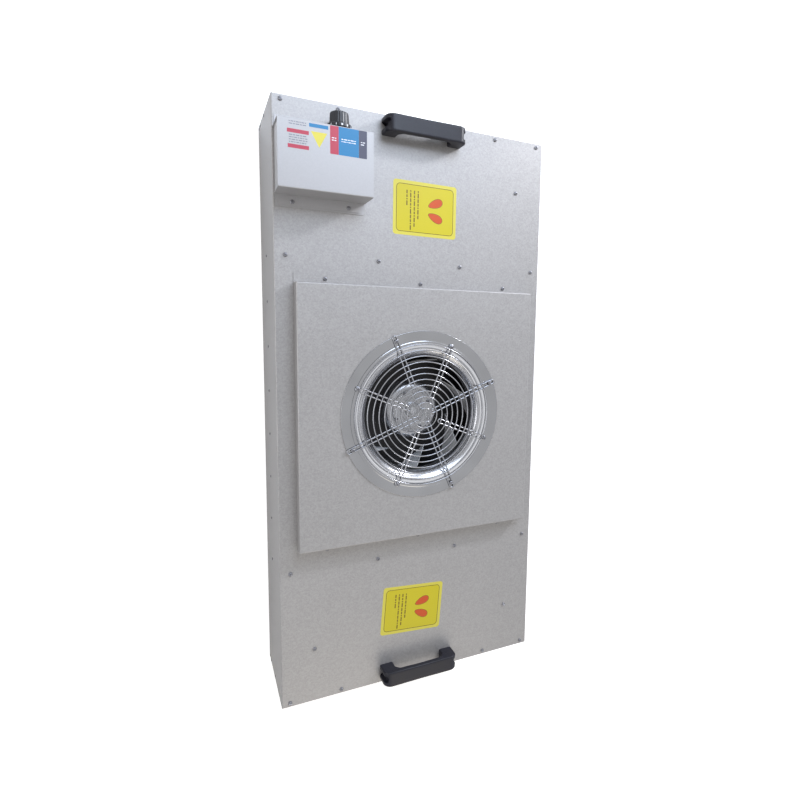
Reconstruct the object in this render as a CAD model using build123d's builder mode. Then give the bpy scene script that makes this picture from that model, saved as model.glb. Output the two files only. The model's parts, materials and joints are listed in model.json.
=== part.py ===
"""Ceiling fan filter unit, 1175 x 575 mm module, lying as it hangs: filter face down, fan inlet up.

Millimetres. +Z is up, +Y points to the end that carries the control box, +X to the side away from it.
The origin is the centre of the bottom rim, in the plane that rests on the ceiling grid.
"""

import os
from math import atan2, cos, degrees, radians, sin, tan

from build123d import *

os.makedirs("parts", exist_ok=True)

# ---------------------------------------------------------------- driving dimensions
casing_width = 575.0
casing_length = 1175.0
casing_height = 200.0
sheet = 1.0  # galvanised sheet of the casing and the fan box
bend_radius = 1.0  # inside radius of every sheet fold
return_width = 15.0  # inward returns along the casing edges
seat_gap = 0.2  # left between sheets that lie on each other
soft_gap = 0.3  # left round seals, foam and moulded pieces

fan_opening_radius = 205.0  # hole in the casing top under the fan box
wire_hole_radius = 9.0  # hole for the motor lead under the control box

# Screws and rivets
screw_radius = 2.1  # shank of the pan-head sheet screws
screw_head_radius = 4.0
screw_head_height = 2.4
screw_length = 9.0
hole_clearance = 0.35
rivet_radius = 1.6
rivet_head_radius = 2.8
rivet_head_height = 1.2
rivet_tail = 1.5  # what a blind rivet stands out inside
head_sides = 6  # flats that stand in for a fastener's small round head
fastener_sides = 4  # and for its shank and hole
grommet_sides = 12
fan_sides = 48  # flats round the spun parts of the fan

# Filter cell
filter_height = 50.0
filter_side_gap = 4.0  # filter frame to casing wall
frame_wall = 1.5  # aluminium channel of the filter frame
frame_flange = 15.0
seal_width = 11.0
seal_height = 5.0
pleat_pitch = 20.0
pleat_paper = 2.0
mesh_thickness = 0.8
mesh_cell_x = 132.0
mesh_cell_y = 125.0
mesh_strand = 9.0

clamp_width = 26.0
clamp_sheet = 2.0
clamp_shelf = 18.0  # horizontal leg of a clamp bracket
clamp_leg = 14.0  # its leg on the casing wall
clamp_lift = 10.0  # underside of the shelf above the filter frame
clamp_pitch = 300.0
clamps_per_side = 3
clamp_bolt_radius = 2.5
clamp_bolt_head = 4.6
clamp_bolt_head_height = 3.5
clamp_pad_radius = 5.5
clamp_pad_height = 2.0

# Fan chamber
deck_height = 84.0  # underside of the fan deck above the bottom rim
deck_flange = 20.0
deck_rivet_pitch = 90.0
deck_rivets_per_side = 8
chamber_screw_gap = 49.0  # top-plate screws of the chamber ends, from the fan box wall
chamber_screw_edge = 20.5  # the outer ones from the casing side
chamber_return = 18.0
window_width = 150.0
window_height = 64.0
window_pitch = 178.0
foam_thickness = 12.0
baffle_screw_edge = 65.5  # screws of the end baffles, from the casing side
baffle_screw_inset = 111.5  # and from its end
baffle_length = 500.0
baffle_drop = 62.0
baffle_slots = 6
baffle_slot_width = 60.0
baffle_slot_height = 14.0

end_screw_inset = 7.5  # top screws of an end plate, from the end edge
end_screw_outer_edge = 16.0  # the same screws from the casing side
end_screw_inner_edge = 120.0
corner_rivet_heights = (14.0, 35.0, 98.0)
handle_hole_radius = 2.6

# Raised fan box on the casing top
fan_box_width = 506.0
fan_box_length = 518.0
fan_box_height = 28.0
fan_box_bend = 2.5  # outside radius of its top edges
fan_box_flange = 18.0
fan_box_screw_pitch = 195.0
fan_box_hole_radius = 147.5

# Bell-mouth inlet nozzle
nozzle_sheet = 1.2
nozzle_flange_radius = 173.0
nozzle_throat_radius = 119.5
nozzle_curve = 27.0
nozzle_chords = 2  # straight steps of the spun curve
nozzle_length = 39.5  # flange face to the free end of the throat

# Wire guard
ring_wire = 1.2  # wire radii
leg_wire = 1.6
guard_rings = 12
ring_first = 14.5
ring_last = 146.0
leg_first_angle = 22.5
long_leg_reach = 176.0
short_leg_reach = 157.5
short_leg_start = 32.0
leg_half_gap = 4.2  # centre of the pair to the centre of each wire
weld_gap = 0.1  # between a ring and the leg that it is welded to
ring_least_sides = 12  # flats of the innermost ring; each next one has two more
guard_screw_circle = 163.0
clip_screw_circle = 151.8
guard_screw_length = 10.0

# Impeller and external-rotor motor
impeller_radius = 165.0
blade_count = 7
blade_inner_radius = 99.0
blade_first_angle = -12.0
blade_middle_radius = 128.0  # the arc's middle point
blade_middle_lean = 30.0
blade_sheet = 1.6
blade_chords = 4  # straight steps of its bend
blade_lean = 52.0  # how far the blade tip trails its root, degrees
back_plate_sheet = 2.0
shroud_sheet = 1.5
shroud_radius = 124.0
shroud_lip = 6.0
shroud_curve = 10.0
shroud_chords = 1
shroud_slope = 20.0  # degrees below the horizontal
shroud_overlap = 4.0  # lip above the free end of the nozzle

rotor_radius = 62.0
rotor_wall = 12.0  # steel can with its cast-in laminations
rotor_base = 97.0
rotor_front = 160.0
rotor_shoulder = 13.0
rotor_chords = 2
rotor_step_radius = 66.0  # the impeller is pressed on down to this step
rotor_step_height = 114.6
hub_radius = 16.5
hub_height = 6.0
front_web = 9.0
rotor_screw_circle = 40.5
rotor_screw_angle = 26.0
air_gap = 1.0
running_gap = 2.0  # tube end to the inside of the rotor's front web

shaft_radius = 6.0
running_clearance = 0.05
bearing_radius = 13.0
bearing_width = 10.0
bearing_inset = 2.0
press_clearance = 0.03
stator_plate = 104.0  # square mounting plate
stator_plate_corner = 18.0
stator_flange_thickness = 6.0
stator_tube_radius = 19.5
stator_slots = 12
slot_width = 7.0
slot_depth = 14.0
stator_core_height = 38.0
winding_overhang = 6.0
winding_inset = 3.0
stator_screw_circle = 54.0
stator_screw_length = 6.0

# Control box
box_width = 168.0
box_length = 116.0
box_height = 60.0
box_edge_gap = 2.0  # from the casing side to the box
box_end_distance = 115.0  # its centre from the casing end
box_flange = 18.0
box_flange_taper = 9.5
box_foot_margin = 3.0  # foot plate beyond the cover flange
box_foot_inset = 2.5  # its side walls, in from the cover's edges
box_screw_spacing = 104.0
box_screw_inset = 11.5

knob_offset_x = 28.5  # from the box centre
knob_height = 30.0  # axis above the casing top
knob_radius = 18.0
knob_taper = 2.7  # degrees
knob_skirt_radius = 22.0
knob_length = 28.0
knob_skirt_length = 7.0
knob_wall_gap = 1.5
knob_edge = 2.5
knob_flats = 24  # round its grip
knob_shaft_radius = 3.0
knob_bore_depth = 15.0
bush_radius = 5.0
bush_bore_depth = 8.0
bush_nut_across = 12.0
bush_nut_height = 2.4
controller_width = 44.0
controller_depth = 26.0
controller_height = 34.0

capacitor_radius = 17.5
capacitor_length = 66.0
capacitor_place = (-18.0, -24.0)  # from the box centre
clip_sheet = 1.0
clip_width = 14.0
clip_foot = 9.0
terminal_width = 58.0
terminal_depth = 20.0
terminal_height = 18.0
terminal_ways = 5
terminal_place = (-38.0, 22.0)  # from the box centre
terminal_entry = 3.0  # radius of its wire entries
grommet_wall = 3.0
grommet_lip = 2.5
grommet_lip_height = 1.8
mains_hole_radius = 8.0
mains_hole_place = (-54.0, 27.0)  # from the box centre line, and above the casing top

# Bridge handles
handle_reach = 84.0  # half its length
handle_opening = 55.0  # half the finger opening
handle_width = 32.0
handle_height = 38.0
handle_bar = 12.0
handle_corner = 16.0
handle_inner_bevel = 9.0
handle_edge = 3.0
handle_end_distance = 23.5  # its centre line from the casing end
handle_groove_width = 13.0  # upright groove in the middle of each end
handle_groove_depth = 8.0
handle_screw_x = 66.0
handle_screw_bite = 12.0

# ---------------------------------------------------------------- places that follow from them
side_x = casing_width / 2
end_y = casing_length / 2
top_z = casing_height
inner_side_x = side_x - sheet - seat_gap
inner_top_z = top_z - sheet - seat_gap

end_screw_outer_x = side_x - end_screw_outer_edge
end_screw_inner_x = side_x - end_screw_inner_edge
chamber_screw_y = fan_box_length / 2 + chamber_screw_gap
chamber_screw_pitch = (side_x - chamber_screw_edge) / 1.5
baffle_screw_x = side_x - baffle_screw_edge
baffle_screw_y = end_y - baffle_screw_inset

filter_base_z = sheet + seal_height + 2 * soft_gap
filter_top_z = filter_base_z + filter_height
filter_x = side_x - sheet - filter_side_gap
filter_y = end_y - sheet - filter_side_gap

deck_top_z = deck_height + sheet
chamber_web_y = chamber_screw_y + chamber_return / 2
chamber_bottom_z = deck_top_z + seat_gap
deck_rivet_z = deck_height + deck_flange / 2 + sheet

top_seat_z = top_z + seat_gap
fan_box_top_z = top_seat_z + fan_box_height
nozzle_seat_z = fan_box_top_z + seat_gap
nozzle_face_z = nozzle_seat_z + nozzle_sheet
nozzle_end_z = nozzle_face_z - nozzle_length
nozzle_outer_radius = nozzle_throat_radius + nozzle_sheet

leg_z = nozzle_face_z + seat_gap + leg_wire
ring_base_z = leg_z + leg_wire + weld_gap
ring_pitch = (ring_last - ring_first) / (guard_rings - 1)

shroud_top_z = nozzle_end_z + shroud_overlap
shroud_bend_z = shroud_top_z - shroud_lip
back_plate_z = rotor_step_height + seat_gap
back_plate_top_z = back_plate_z + back_plate_sheet

stator_base_z = deck_top_z + seat_gap
rotor_bore_radius = rotor_radius - rotor_wall
rotor_top_inside_z = rotor_front - front_web
hub_face_z = rotor_front + hub_height

box_center_x = -side_x + box_edge_gap + box_width / 2
box_center_y = end_y - box_end_distance
box_top_z = top_z + box_height
foot_top_z = top_seat_z + sheet
box_wall_y = box_center_y + box_length / 2
knob_x = box_center_x + knob_offset_x
knob_z = top_z + knob_height
knob_base_y = box_wall_y + knob_wall_gap + bush_nut_height

handle_y = end_y - handle_end_distance


def save(piece, name):
    """Label a finished piece and write it as its own STEP file."""
    piece.part.label = name
    export_step(piece.part, f"parts/{name}.step")


def both(x, y):
    """The point and its mirror images in both centre planes, without repeats."""
    return sorted({(a, b) for a in (x, -x) for b in (y, -y)})


def polar(radius, angle):
    """A point of the XY plane from its radius and its angle in degrees."""
    return (radius * cos(radians(angle)), radius * sin(radians(angle)))


def arc_points(center, radius, start, size, chords):
    """Points at equal angles along an arc, for a curve drawn in straight steps."""
    steps = [start + size * i / chords for i in range(chords + 1)]
    return [(center[0] + x, center[1] + z) for x, z in (polar(radius, angle) for angle in steps)]


def turned(stations, mode=Mode.ADD):
    """A spun form in flats, through (radius, height) stations that rise; the radius is to the flats."""
    for low, high in zip(stations, stations[1:]):
        (wide_radius, wide_z), (narrow_radius, narrow_z) = sorted((low, high), reverse=True)
        facing = 1 if narrow_z > wide_z else -1
        wide_plane = Plane(origin=(0, 0, wide_z), x_dir=(1, 0, 0), z_dir=(0, 0, facing))
        with BuildSketch(wide_plane) as wide_end:
            RegularPolygon(wide_radius, fan_sides, major_radius=False)
        height = abs(narrow_z - wide_z)
        lean = degrees(atan2(wide_radius - narrow_radius, height))
        extrude(wide_end.sketch, amount=height, taper=lean, mode=mode)


# Where the sheet screws stand on the casing top
end_screw_points = both(end_screw_outer_x, end_y - end_screw_inset)
end_screw_points += both(end_screw_inner_x, end_y - end_screw_inset)
chamber_screw_points = both(chamber_screw_pitch / 2, chamber_screw_y)
chamber_screw_points += both(chamber_screw_pitch * 1.5, chamber_screw_y)
baffle_screw_points = both(baffle_screw_x, baffle_screw_y)
fan_box_screw_y = fan_box_length / 2 + fan_box_flange / 2
fan_box_screw_points = both(fan_box_screw_pitch, fan_box_screw_y) + both(0, fan_box_screw_y)
foot_screw_y = (
    box_center_y - box_length / 2 - box_screw_inset,
    box_center_y + box_length / 2 + box_screw_inset,
)
box_screw_points = [
    (box_center_x + side * box_screw_spacing / 2, y) for side in (-1, 1) for y in foot_screw_y
]
handle_screw_points = both(handle_screw_x, handle_y)
wire_hole_point = (box_center_x + box_width / 4, box_center_y - box_length / 4)

# The two baffle screws at the control end lie under its foot plate, so the foot has room for them
hidden_baffle_point = (-baffle_screw_x, baffle_screw_y)

top_hole_points = end_screw_points + chamber_screw_points + baffle_screw_points
top_hole_points += fan_box_screw_points + box_screw_points

# ---------------------------------------------------------------- casing
# Top and both long sides are one folded sheet with inward returns at the bottom.
with BuildPart() as casing_shell:
    with BuildSketch(Plane.XZ):
        with Locations((0, casing_height / 2)):
            RectangleRounded(casing_width, casing_height, bend_radius + sheet)
            RectangleRounded(
                casing_width - 2 * sheet,
                casing_height - 2 * sheet,
                bend_radius,
                mode=Mode.SUBTRACT,
            )
        with Locations((0, sheet)):
            Rectangle(casing_width - 2 * return_width, 3 * sheet, mode=Mode.SUBTRACT)
    extrude(amount=casing_length / 2, both=True)
    with BuildSketch(Plane.XY):
        for y in (end_y, -end_y):
            with Locations((0, y)):
                Rectangle(2 * (side_x - sheet), 2 * (return_width + seat_gap))
    extrude(amount=2 * sheet, mode=Mode.SUBTRACT)
    with BuildSketch(Plane.XY.offset(top_z)):
        RegularPolygon(fan_opening_radius, fan_sides, major_radius=False)
        with Locations(wire_hole_point):
            RegularPolygon(wire_hole_radius, grommet_sides)
        with Locations(*top_hole_points):
            RegularPolygon(screw_radius + hole_clearance, fastener_sides)
        with Locations(*handle_screw_points):
            RegularPolygon(handle_hole_radius, fastener_sides)
    extrude(amount=-2 * sheet, mode=Mode.SUBTRACT)
    rivet_rows = [
        (deck_rivet_pitch * (i - (deck_rivets_per_side - 1) / 2), deck_rivet_z)
        for i in range(deck_rivets_per_side)
    ]
    corner_rivets = [
        (side * (end_y - end_screw_inset), z) for side in (-1, 1) for z in corner_rivet_heights
    ]
    with BuildSketch(Plane.YZ):
        with Locations(*rivet_rows, *corner_rivets):
            RegularPolygon(rivet_radius + hole_clearance, fastener_sides)
    extrude(amount=casing_width, both=True, mode=Mode.SUBTRACT)
save(casing_shell, "casing_shell")

# Each end is a folded tray pushed into the shell.
for side, end_name in ((1, "control_end"), (-1, "far_end")):
    with BuildPart() as end_plate:
        with BuildSketch(Plane.XZ.offset(-side * end_y)) as end_outline:
            with Locations((0, inner_top_z / 2)):
                Rectangle(2 * inner_side_x, inner_top_z)
            chamfer(end_outline.vertices(), bend_radius)
        extrude(amount=side * return_width)
        open_face = end_plate.faces().filter_by(Axis.Y).sort_by(Axis.Y)[0 if side > 0 else -1]
        offset(amount=-sheet, openings=open_face)
        with BuildSketch(Plane.XY.offset(inner_top_z)):
            with Locations(*[p for p in end_screw_points if p[1] * side > 0]):
                RegularPolygon(screw_radius + hole_clearance, fastener_sides)
        extrude(amount=-2 * sheet, mode=Mode.SUBTRACT)
        with BuildSketch(Plane.YZ):
            with Locations(*[p for p in corner_rivets if p[0] * side > 0]):
                RegularPolygon(rivet_radius + hole_clearance, fastener_sides)
        extrude(amount=casing_width, both=True, mode=Mode.SUBTRACT)
    save(end_plate, f"end_plate_{end_name}")


def pan_screws(points, seat_z, length, facing=1):
    """Pan-head screws in points, heads on seat_z; facing 1 puts the shanks below it, -1 above."""
    with BuildPart() as screws:
        with BuildSketch(Plane.XY.offset(seat_z)):
            with Locations(*points):
                RegularPolygon(screw_head_radius, head_sides)
        extrude(amount=facing * screw_head_height)
        with BuildSketch(Plane.XY.offset(seat_z)):
            with Locations(*points):
                RegularPolygon(screw_radius, fastener_sides)
        extrude(amount=-facing * length)
    return screws


visible_top_points = [p for p in top_hole_points if p not in fan_box_screw_points]
visible_top_points = [p for p in visible_top_points if p not in box_screw_points]
top_screws = pan_screws(visible_top_points, top_seat_z, screw_length)
save(top_screws, "top_screws")

# Blind rivets along both long sides
with BuildPart() as side_rivets:
    for side in (-1, 1):
        seat = Plane(origin=(side * (side_x + seat_gap), 0, 0), x_dir=(0, 1, 0), z_dir=(side, 0, 0))
        rivet_places = [(y * 1.0, z * side) for y, z in rivet_rows + corner_rivets]
        with BuildSketch(seat):
            with Locations(*rivet_places):
                RegularPolygon(rivet_head_radius, head_sides)
        extrude(amount=rivet_head_height)
        with BuildSketch(seat):
            with Locations(*rivet_places):
                RegularPolygon(rivet_radius, fastener_sides)
        extrude(amount=-(2 * sheet + 2 * seat_gap + rivet_tail))
save(side_rivets, "side_rivets")

# ---------------------------------------------------------------- filter cell
with BuildPart() as filter_seal:
    with BuildSketch(Plane.XY.offset(sheet + soft_gap)):
        Rectangle(2 * filter_x, 2 * filter_y)
        Rectangle(2 * (filter_x - seal_width), 2 * (filter_y - seal_width), mode=Mode.SUBTRACT)
    extrude(amount=seal_height)
save(filter_seal, "filter_seal")

with BuildPart() as filter_frame:
    with BuildSketch(Plane.XY.offset(filter_base_z)):
        Rectangle(2 * filter_x, 2 * filter_y)
        Rectangle(2 * (filter_x - frame_flange), 2 * (filter_y - frame_flange), mode=Mode.SUBTRACT)
    extrude(amount=filter_height)
    with BuildSketch(Plane.XY.offset(filter_base_z + frame_wall)):
        Rectangle(2 * (filter_x - frame_wall), 2 * (filter_y - frame_wall))
    extrude(amount=filter_height - 2 * frame_wall, mode=Mode.SUBTRACT)
save(filter_frame, "filter_frame")

mesh_z = filter_base_z + frame_wall + soft_gap
mesh_x = filter_x - frame_wall - soft_gap
mesh_y = filter_y - frame_wall - soft_gap
mesh_columns = int(2 * (filter_x - frame_flange) / mesh_cell_x)
mesh_rows = int(2 * (filter_y - frame_flange) / mesh_cell_y)

with BuildPart() as face_guard:
    with BuildSketch(Plane.XY.offset(mesh_z)):
        Rectangle(2 * mesh_x, 2 * mesh_y)
        with GridLocations(mesh_cell_x, mesh_cell_y, mesh_columns, mesh_rows):
            Rectangle(mesh_cell_x - mesh_strand, mesh_cell_y - mesh_strand, mode=Mode.SUBTRACT)
    extrude(amount=mesh_thickness)
save(face_guard, "face_guard")

media_base_z = mesh_z + mesh_thickness + soft_gap
media_top_z = filter_top_z - frame_wall - soft_gap
pleat_count = int(2 * mesh_y / pleat_pitch)
pleat_y = [pleat_pitch / 2 * (i - pleat_count) for i in range(2 * pleat_count + 1)]
paper_lift = pleat_paper * (media_top_z - media_base_z) / (pleat_pitch / 2)

with BuildPart() as filter_media:
    with BuildSketch(Plane.YZ.offset(-mesh_x)):
        with BuildLine():
            crest = [
                (y, media_top_z - paper_lift if i % 2 else media_base_z) for i, y in enumerate(pleat_y)
            ]
            Polyline(*crest, *[(y, z + paper_lift) for y, z in reversed(crest)], close=True)
        make_face()
    extrude(amount=2 * mesh_x)
save(filter_media, "filter_media")

# Pressure clamps hold the filter frame down on its seal: a bracket on the wall, a bolt in its shelf.
clamp_y = [clamp_pitch * (i - (clamps_per_side - 1) / 2) for i in range(clamps_per_side)]
shelf_z = filter_top_z + clamp_lift
clamp_bolt_x = inner_side_x - clamp_shelf / 2 - clamp_sheet / 2
clamp_points = both(clamp_bolt_x, clamp_y[-1]) + both(clamp_bolt_x, 0)

with BuildPart() as clamp_brackets:
    for side in (-1, 1):
        for y in clamp_y:
            with BuildSketch(Plane.XZ.offset(-(y + clamp_width / 2))):
                with Locations((side * (inner_side_x - clamp_sheet / 2), shelf_z)):
                    Rectangle(clamp_sheet, clamp_leg, align=(Align.CENTER, Align.MIN))
                with Locations((side * (inner_side_x - clamp_shelf / 2), shelf_z)):
                    Rectangle(clamp_shelf, clamp_sheet, align=(Align.CENTER, Align.MIN))
            extrude(amount=clamp_width)
    with BuildSketch(Plane.XY.offset(shelf_z)):
        with Locations(*clamp_points):
            RegularPolygon(clamp_bolt_radius + hole_clearance, fastener_sides)
    extrude(amount=clamp_sheet, mode=Mode.SUBTRACT)
save(clamp_brackets, "clamp_brackets")

with BuildPart() as clamp_bolts:
    pad_z = filter_top_z + soft_gap
    bolt_head_z = shelf_z + clamp_sheet + seat_gap
    with BuildSketch(Plane.XY.offset(pad_z)):
        with Locations(*clamp_points):
            RegularPolygon(clamp_pad_radius, head_sides)
    extrude(amount=clamp_pad_height)
    with BuildSketch(Plane.XY.offset(pad_z)):
        with Locations(*clamp_points):
            RegularPolygon(clamp_bolt_radius, fastener_sides)
    extrude(amount=bolt_head_z - pad_z)
    with BuildSketch(Plane.XY.offset(bolt_head_z)):
        with Locations(*clamp_points):
            RegularPolygon(clamp_bolt_head, head_sides)
    extrude(amount=clamp_bolt_head_height)
save(clamp_bolts, "clamp_bolts")

# ---------------------------------------------------------------- fan chamber
deck_half_length = chamber_web_y + sheet
stator_screw_points = [polar(stator_screw_circle, 45 + 90 * i) for i in range(4)]

with BuildPart() as fan_deck:
    with BuildSketch(Plane.XZ) as deck_section:
        with Locations((0, deck_height)):
            Rectangle(2 * inner_side_x, deck_flange + sheet, align=(Align.CENTER, Align.MIN))
        fillet(deck_section.vertices().group_by(Axis.Y)[0], bend_radius + sheet)
        with Locations((0, deck_top_z)):
            Rectangle(
                2 * (inner_side_x - sheet),
                deck_flange + sheet,
                align=(Align.CENTER, Align.MIN),
                mode=Mode.SUBTRACT,
            )
    extrude(amount=deck_half_length, both=True)
    with BuildSketch(Plane.YZ):
        with Locations(*rivet_rows):
            RegularPolygon(rivet_radius + hole_clearance, fastener_sides)
    extrude(amount=casing_width, both=True, mode=Mode.SUBTRACT)
    with BuildSketch(Plane.XY.offset(deck_height)):
        with Locations(*stator_screw_points):
            RegularPolygon(screw_radius + hole_clearance, fastener_sides)
    extrude(amount=2 * sheet, mode=Mode.SUBTRACT)
save(fan_deck, "fan_deck")

chamber_half_width = inner_side_x - sheet - rivet_tail - seat_gap
chamber_height = inner_top_z - chamber_bottom_z

for side, end_name in ((1, "control_end"), (-1, "far_end")):
    with BuildPart() as chamber_end:
        web_y = side * chamber_web_y
        with BuildSketch(Plane.YZ):
            with Locations((web_y, chamber_bottom_z)):
                Rectangle(sheet, chamber_height, align=(Align.CENTER, Align.MIN))
            for return_z in (chamber_bottom_z, inner_top_z - sheet):
                with Locations((side * (chamber_web_y - chamber_return / 2), return_z)):
                    Rectangle(chamber_return, sheet, align=(Align.CENTER, Align.MIN))
        extrude(amount=chamber_half_width, both=True)
        with BuildSketch(Plane.XZ.offset(-web_y)):
            with Locations((0, chamber_bottom_z + chamber_height / 2)):
                with GridLocations(window_pitch, 1, 3, 1):
                    Rectangle(window_width, window_height)
        extrude(amount=sheet, both=True, mode=Mode.SUBTRACT)
        with BuildSketch(Plane.XY.offset(inner_top_z)):
            with Locations(*[p for p in chamber_screw_points if p[1] * side > 0]):
                RegularPolygon(screw_radius + hole_clearance, fastener_sides)
        extrude(amount=-2 * sheet, mode=Mode.SUBTRACT)
    save(chamber_end, f"chamber_end_{end_name}")

with BuildPart() as acoustic_foam:
    foam_half_length = chamber_web_y - chamber_return - 2 * soft_gap
    foam_base_z = deck_top_z + deck_flange + soft_gap
    with BuildSketch(Plane.XY.offset(foam_base_z)):
        foam_x = side_x - sheet - soft_gap - foam_thickness / 2
        with Locations((foam_x, 0), (-foam_x, 0)):
            Rectangle(foam_thickness, 2 * foam_half_length)
    extrude(amount=top_z - sheet - soft_gap - foam_base_z)
save(acoustic_foam, "acoustic_foam")

for side, end_name in ((1, "control_end"), (-1, "far_end")):
    with BuildPart() as end_baffle:
        web_y = side * (baffle_screw_y + chamber_return / 2)
        with BuildSketch(Plane.YZ):
            with Locations((web_y, inner_top_z)):
                Rectangle(sheet, baffle_drop, align=(Align.CENTER, Align.MAX))
            with Locations((side * baffle_screw_y, inner_top_z)):
                Rectangle(chamber_return, sheet, align=(Align.CENTER, Align.MAX))
        extrude(amount=baffle_length / 2, both=True)
        with BuildSketch(Plane.XZ.offset(-web_y)):
            with Locations((0, inner_top_z - baffle_drop / 2)):
                with GridLocations(
                    baffle_length / baffle_slots, 2 * baffle_slot_height, baffle_slots, 2
                ):
                    Rectangle(baffle_slot_width, baffle_slot_height)
        extrude(amount=sheet, both=True, mode=Mode.SUBTRACT)
        with BuildSketch(Plane.XY.offset(inner_top_z)):
            with Locations(*[p for p in baffle_screw_points if p[1] * side > 0]):
                RegularPolygon(screw_radius + hole_clearance, fastener_sides)
        extrude(amount=-2 * sheet, mode=Mode.SUBTRACT)
    save(end_baffle, f"end_baffle_{end_name}")

# ---------------------------------------------------------------- fan box and inlet
guard_screw_points = [
    polar(clip_screw_circle if i % 2 else guard_screw_circle, leg_first_angle + 45 * i)
    for i in range(8)
]

with BuildPart() as fan_box:
    with BuildSketch(Plane.XY.offset(top_seat_z)):
        Rectangle(fan_box_width, fan_box_length)
    extrude(amount=fan_box_height)
    fillet(fan_box.faces().sort_by(Axis.Z)[-1].edges(), fan_box_bend)
    offset(amount=-sheet, openings=fan_box.faces().sort_by(Axis.Z)[0])
    with BuildSketch(Plane.XY.offset(top_seat_z)):
        with Locations((0, fan_box_screw_y), (0, -fan_box_screw_y)):
            Rectangle(fan_box_width, fan_box_flange + sheet)
    extrude(amount=sheet)
    with BuildSketch(Plane.XY.offset(top_seat_z)):
        Rectangle(fan_box_width - 2 * sheet, fan_box_length - 2 * sheet)
        with Locations(*fan_box_screw_points):
            RegularPolygon(screw_radius + hole_clearance, fastener_sides)
    extrude(amount=sheet, mode=Mode.SUBTRACT)
    with BuildSketch(Plane.XY.offset(fan_box_top_z)):
        RegularPolygon(fan_box_hole_radius, fan_sides, major_radius=False)
        with Locations(*guard_screw_points):
            RegularPolygon(screw_radius + hole_clearance, fastener_sides)
    extrude(amount=-2 * sheet, mode=Mode.SUBTRACT)
save(fan_box, "fan_box")

fan_box_screws = pan_screws(fan_box_screw_points, top_seat_z + sheet + seat_gap, screw_length)
save(fan_box_screws, "fan_box_screws")

# Spun bell mouth: flat flange, quarter-round entry and a short straight throat
curve_center = (nozzle_throat_radius + nozzle_curve, nozzle_face_z - nozzle_curve)
with BuildPart() as inlet_nozzle:
    with BuildSketch(Plane.XY.offset(nozzle_seat_z)):
        RegularPolygon(nozzle_flange_radius, fan_sides, major_radius=False)
    extrude(amount=nozzle_sheet)
    outside = arc_points(curve_center, nozzle_curve - nozzle_sheet, 180, -90, nozzle_chords)
    turned([(nozzle_outer_radius, nozzle_end_z), *outside])
    air_side = arc_points(curve_center, nozzle_curve, 180, -90, nozzle_chords)
    turned([(nozzle_throat_radius, nozzle_end_z), *air_side], Mode.SUBTRACT)
    with BuildSketch(Plane.XY.offset(nozzle_face_z)):
        with Locations(*guard_screw_points):
            RegularPolygon(screw_radius + hole_clearance, fastener_sides)
    extrude(amount=-2 * nozzle_sheet, mode=Mode.SUBTRACT)
save(inlet_nozzle, "inlet_nozzle")

# Wire guard: hairpin legs on the flange, concentric rings welded on top of them
with BuildPart() as wire_guard:
    for i in range(8):
        long_leg = i % 2 == 0
        start = ring_first if long_leg else short_leg_start
        reach = long_leg_reach if long_leg else short_leg_reach
        leg_plane = Plane.XY.offset(leg_z - leg_wire).rotated((0, 0, leg_first_angle + 45 * i))
        with BuildSketch(leg_plane):
            with Locations(((start + reach) / 2, 0)):
                hairpin = Rectangle(reach - start, 2 * (leg_half_gap + leg_wire))
                chamfer(hairpin.vertices(), leg_half_gap)
                Rectangle(
                    reach - start - 4 * leg_wire,
                    2 * (leg_half_gap - leg_wire),
                    mode=Mode.SUBTRACT,
                )
        extrude(amount=2 * leg_wire)
    with BuildSketch(Plane.XY.offset(ring_base_z)):
        for i in reversed(range(guard_rings)):
            radius = ring_first + i * ring_pitch
            sides = ring_least_sides + 2 * i
            RegularPolygon(radius + ring_wire, sides)
            RegularPolygon(radius - ring_wire, sides, mode=Mode.SUBTRACT)
    extrude(amount=2 * ring_wire)
save(wire_guard, "wire_guard")

guard_screw_seat_z = leg_z + leg_wire + seat_gap
guard_screws = pan_screws(guard_screw_points, guard_screw_seat_z, guard_screw_length)
save(guard_screws, "guard_screws")

# ---------------------------------------------------------------- motor, standing part
tube_top_z = rotor_top_inside_z - running_gap
core_middle_z = (rotor_base + rotor_top_inside_z) / 2
core_base_z = core_middle_z - stator_core_height / 2
core_top_z = core_middle_z + stator_core_height / 2
stator_core_radius = rotor_bore_radius - air_gap
lower_bearing_z = stator_base_z + bearing_inset
upper_bearing_z = tube_top_z - bearing_inset - bearing_width

with BuildPart() as stator_flange:
    with BuildSketch(Plane.XY.offset(stator_base_z)) as stator_outline:
        Rectangle(stator_plate, stator_plate)
        chamfer(stator_outline.vertices(), stator_plate_corner)
        with Locations(*stator_screw_points):
            RegularPolygon(screw_radius + hole_clearance, fastener_sides, mode=Mode.SUBTRACT)
    extrude(amount=stator_flange_thickness)
    with BuildSketch(Plane.XY.offset(stator_base_z)):
        Circle(stator_tube_radius)
    extrude(amount=tube_top_z - stator_base_z)
    with BuildSketch(Plane.XY.offset(stator_base_z)):
        Circle(bearing_radius + press_clearance)
    extrude(amount=tube_top_z - stator_base_z, mode=Mode.SUBTRACT)
save(stator_flange, "stator_flange")

stator_screws = pan_screws(stator_screw_points, deck_height - seat_gap, stator_screw_length, -1)
save(stator_screws, "stator_screws")

with BuildPart() as stator_core:
    with BuildSketch(Plane.XY.offset(core_base_z)):
        RegularPolygon(stator_core_radius, 4 * stator_slots)
        Circle(stator_tube_radius + press_clearance, mode=Mode.SUBTRACT)
        with PolarLocations(stator_core_radius - slot_depth / 2, stator_slots):
            Rectangle(slot_depth + 2 * air_gap, slot_width, mode=Mode.SUBTRACT)
    extrude(amount=stator_core_height)
save(stator_core, "stator_core")

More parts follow.
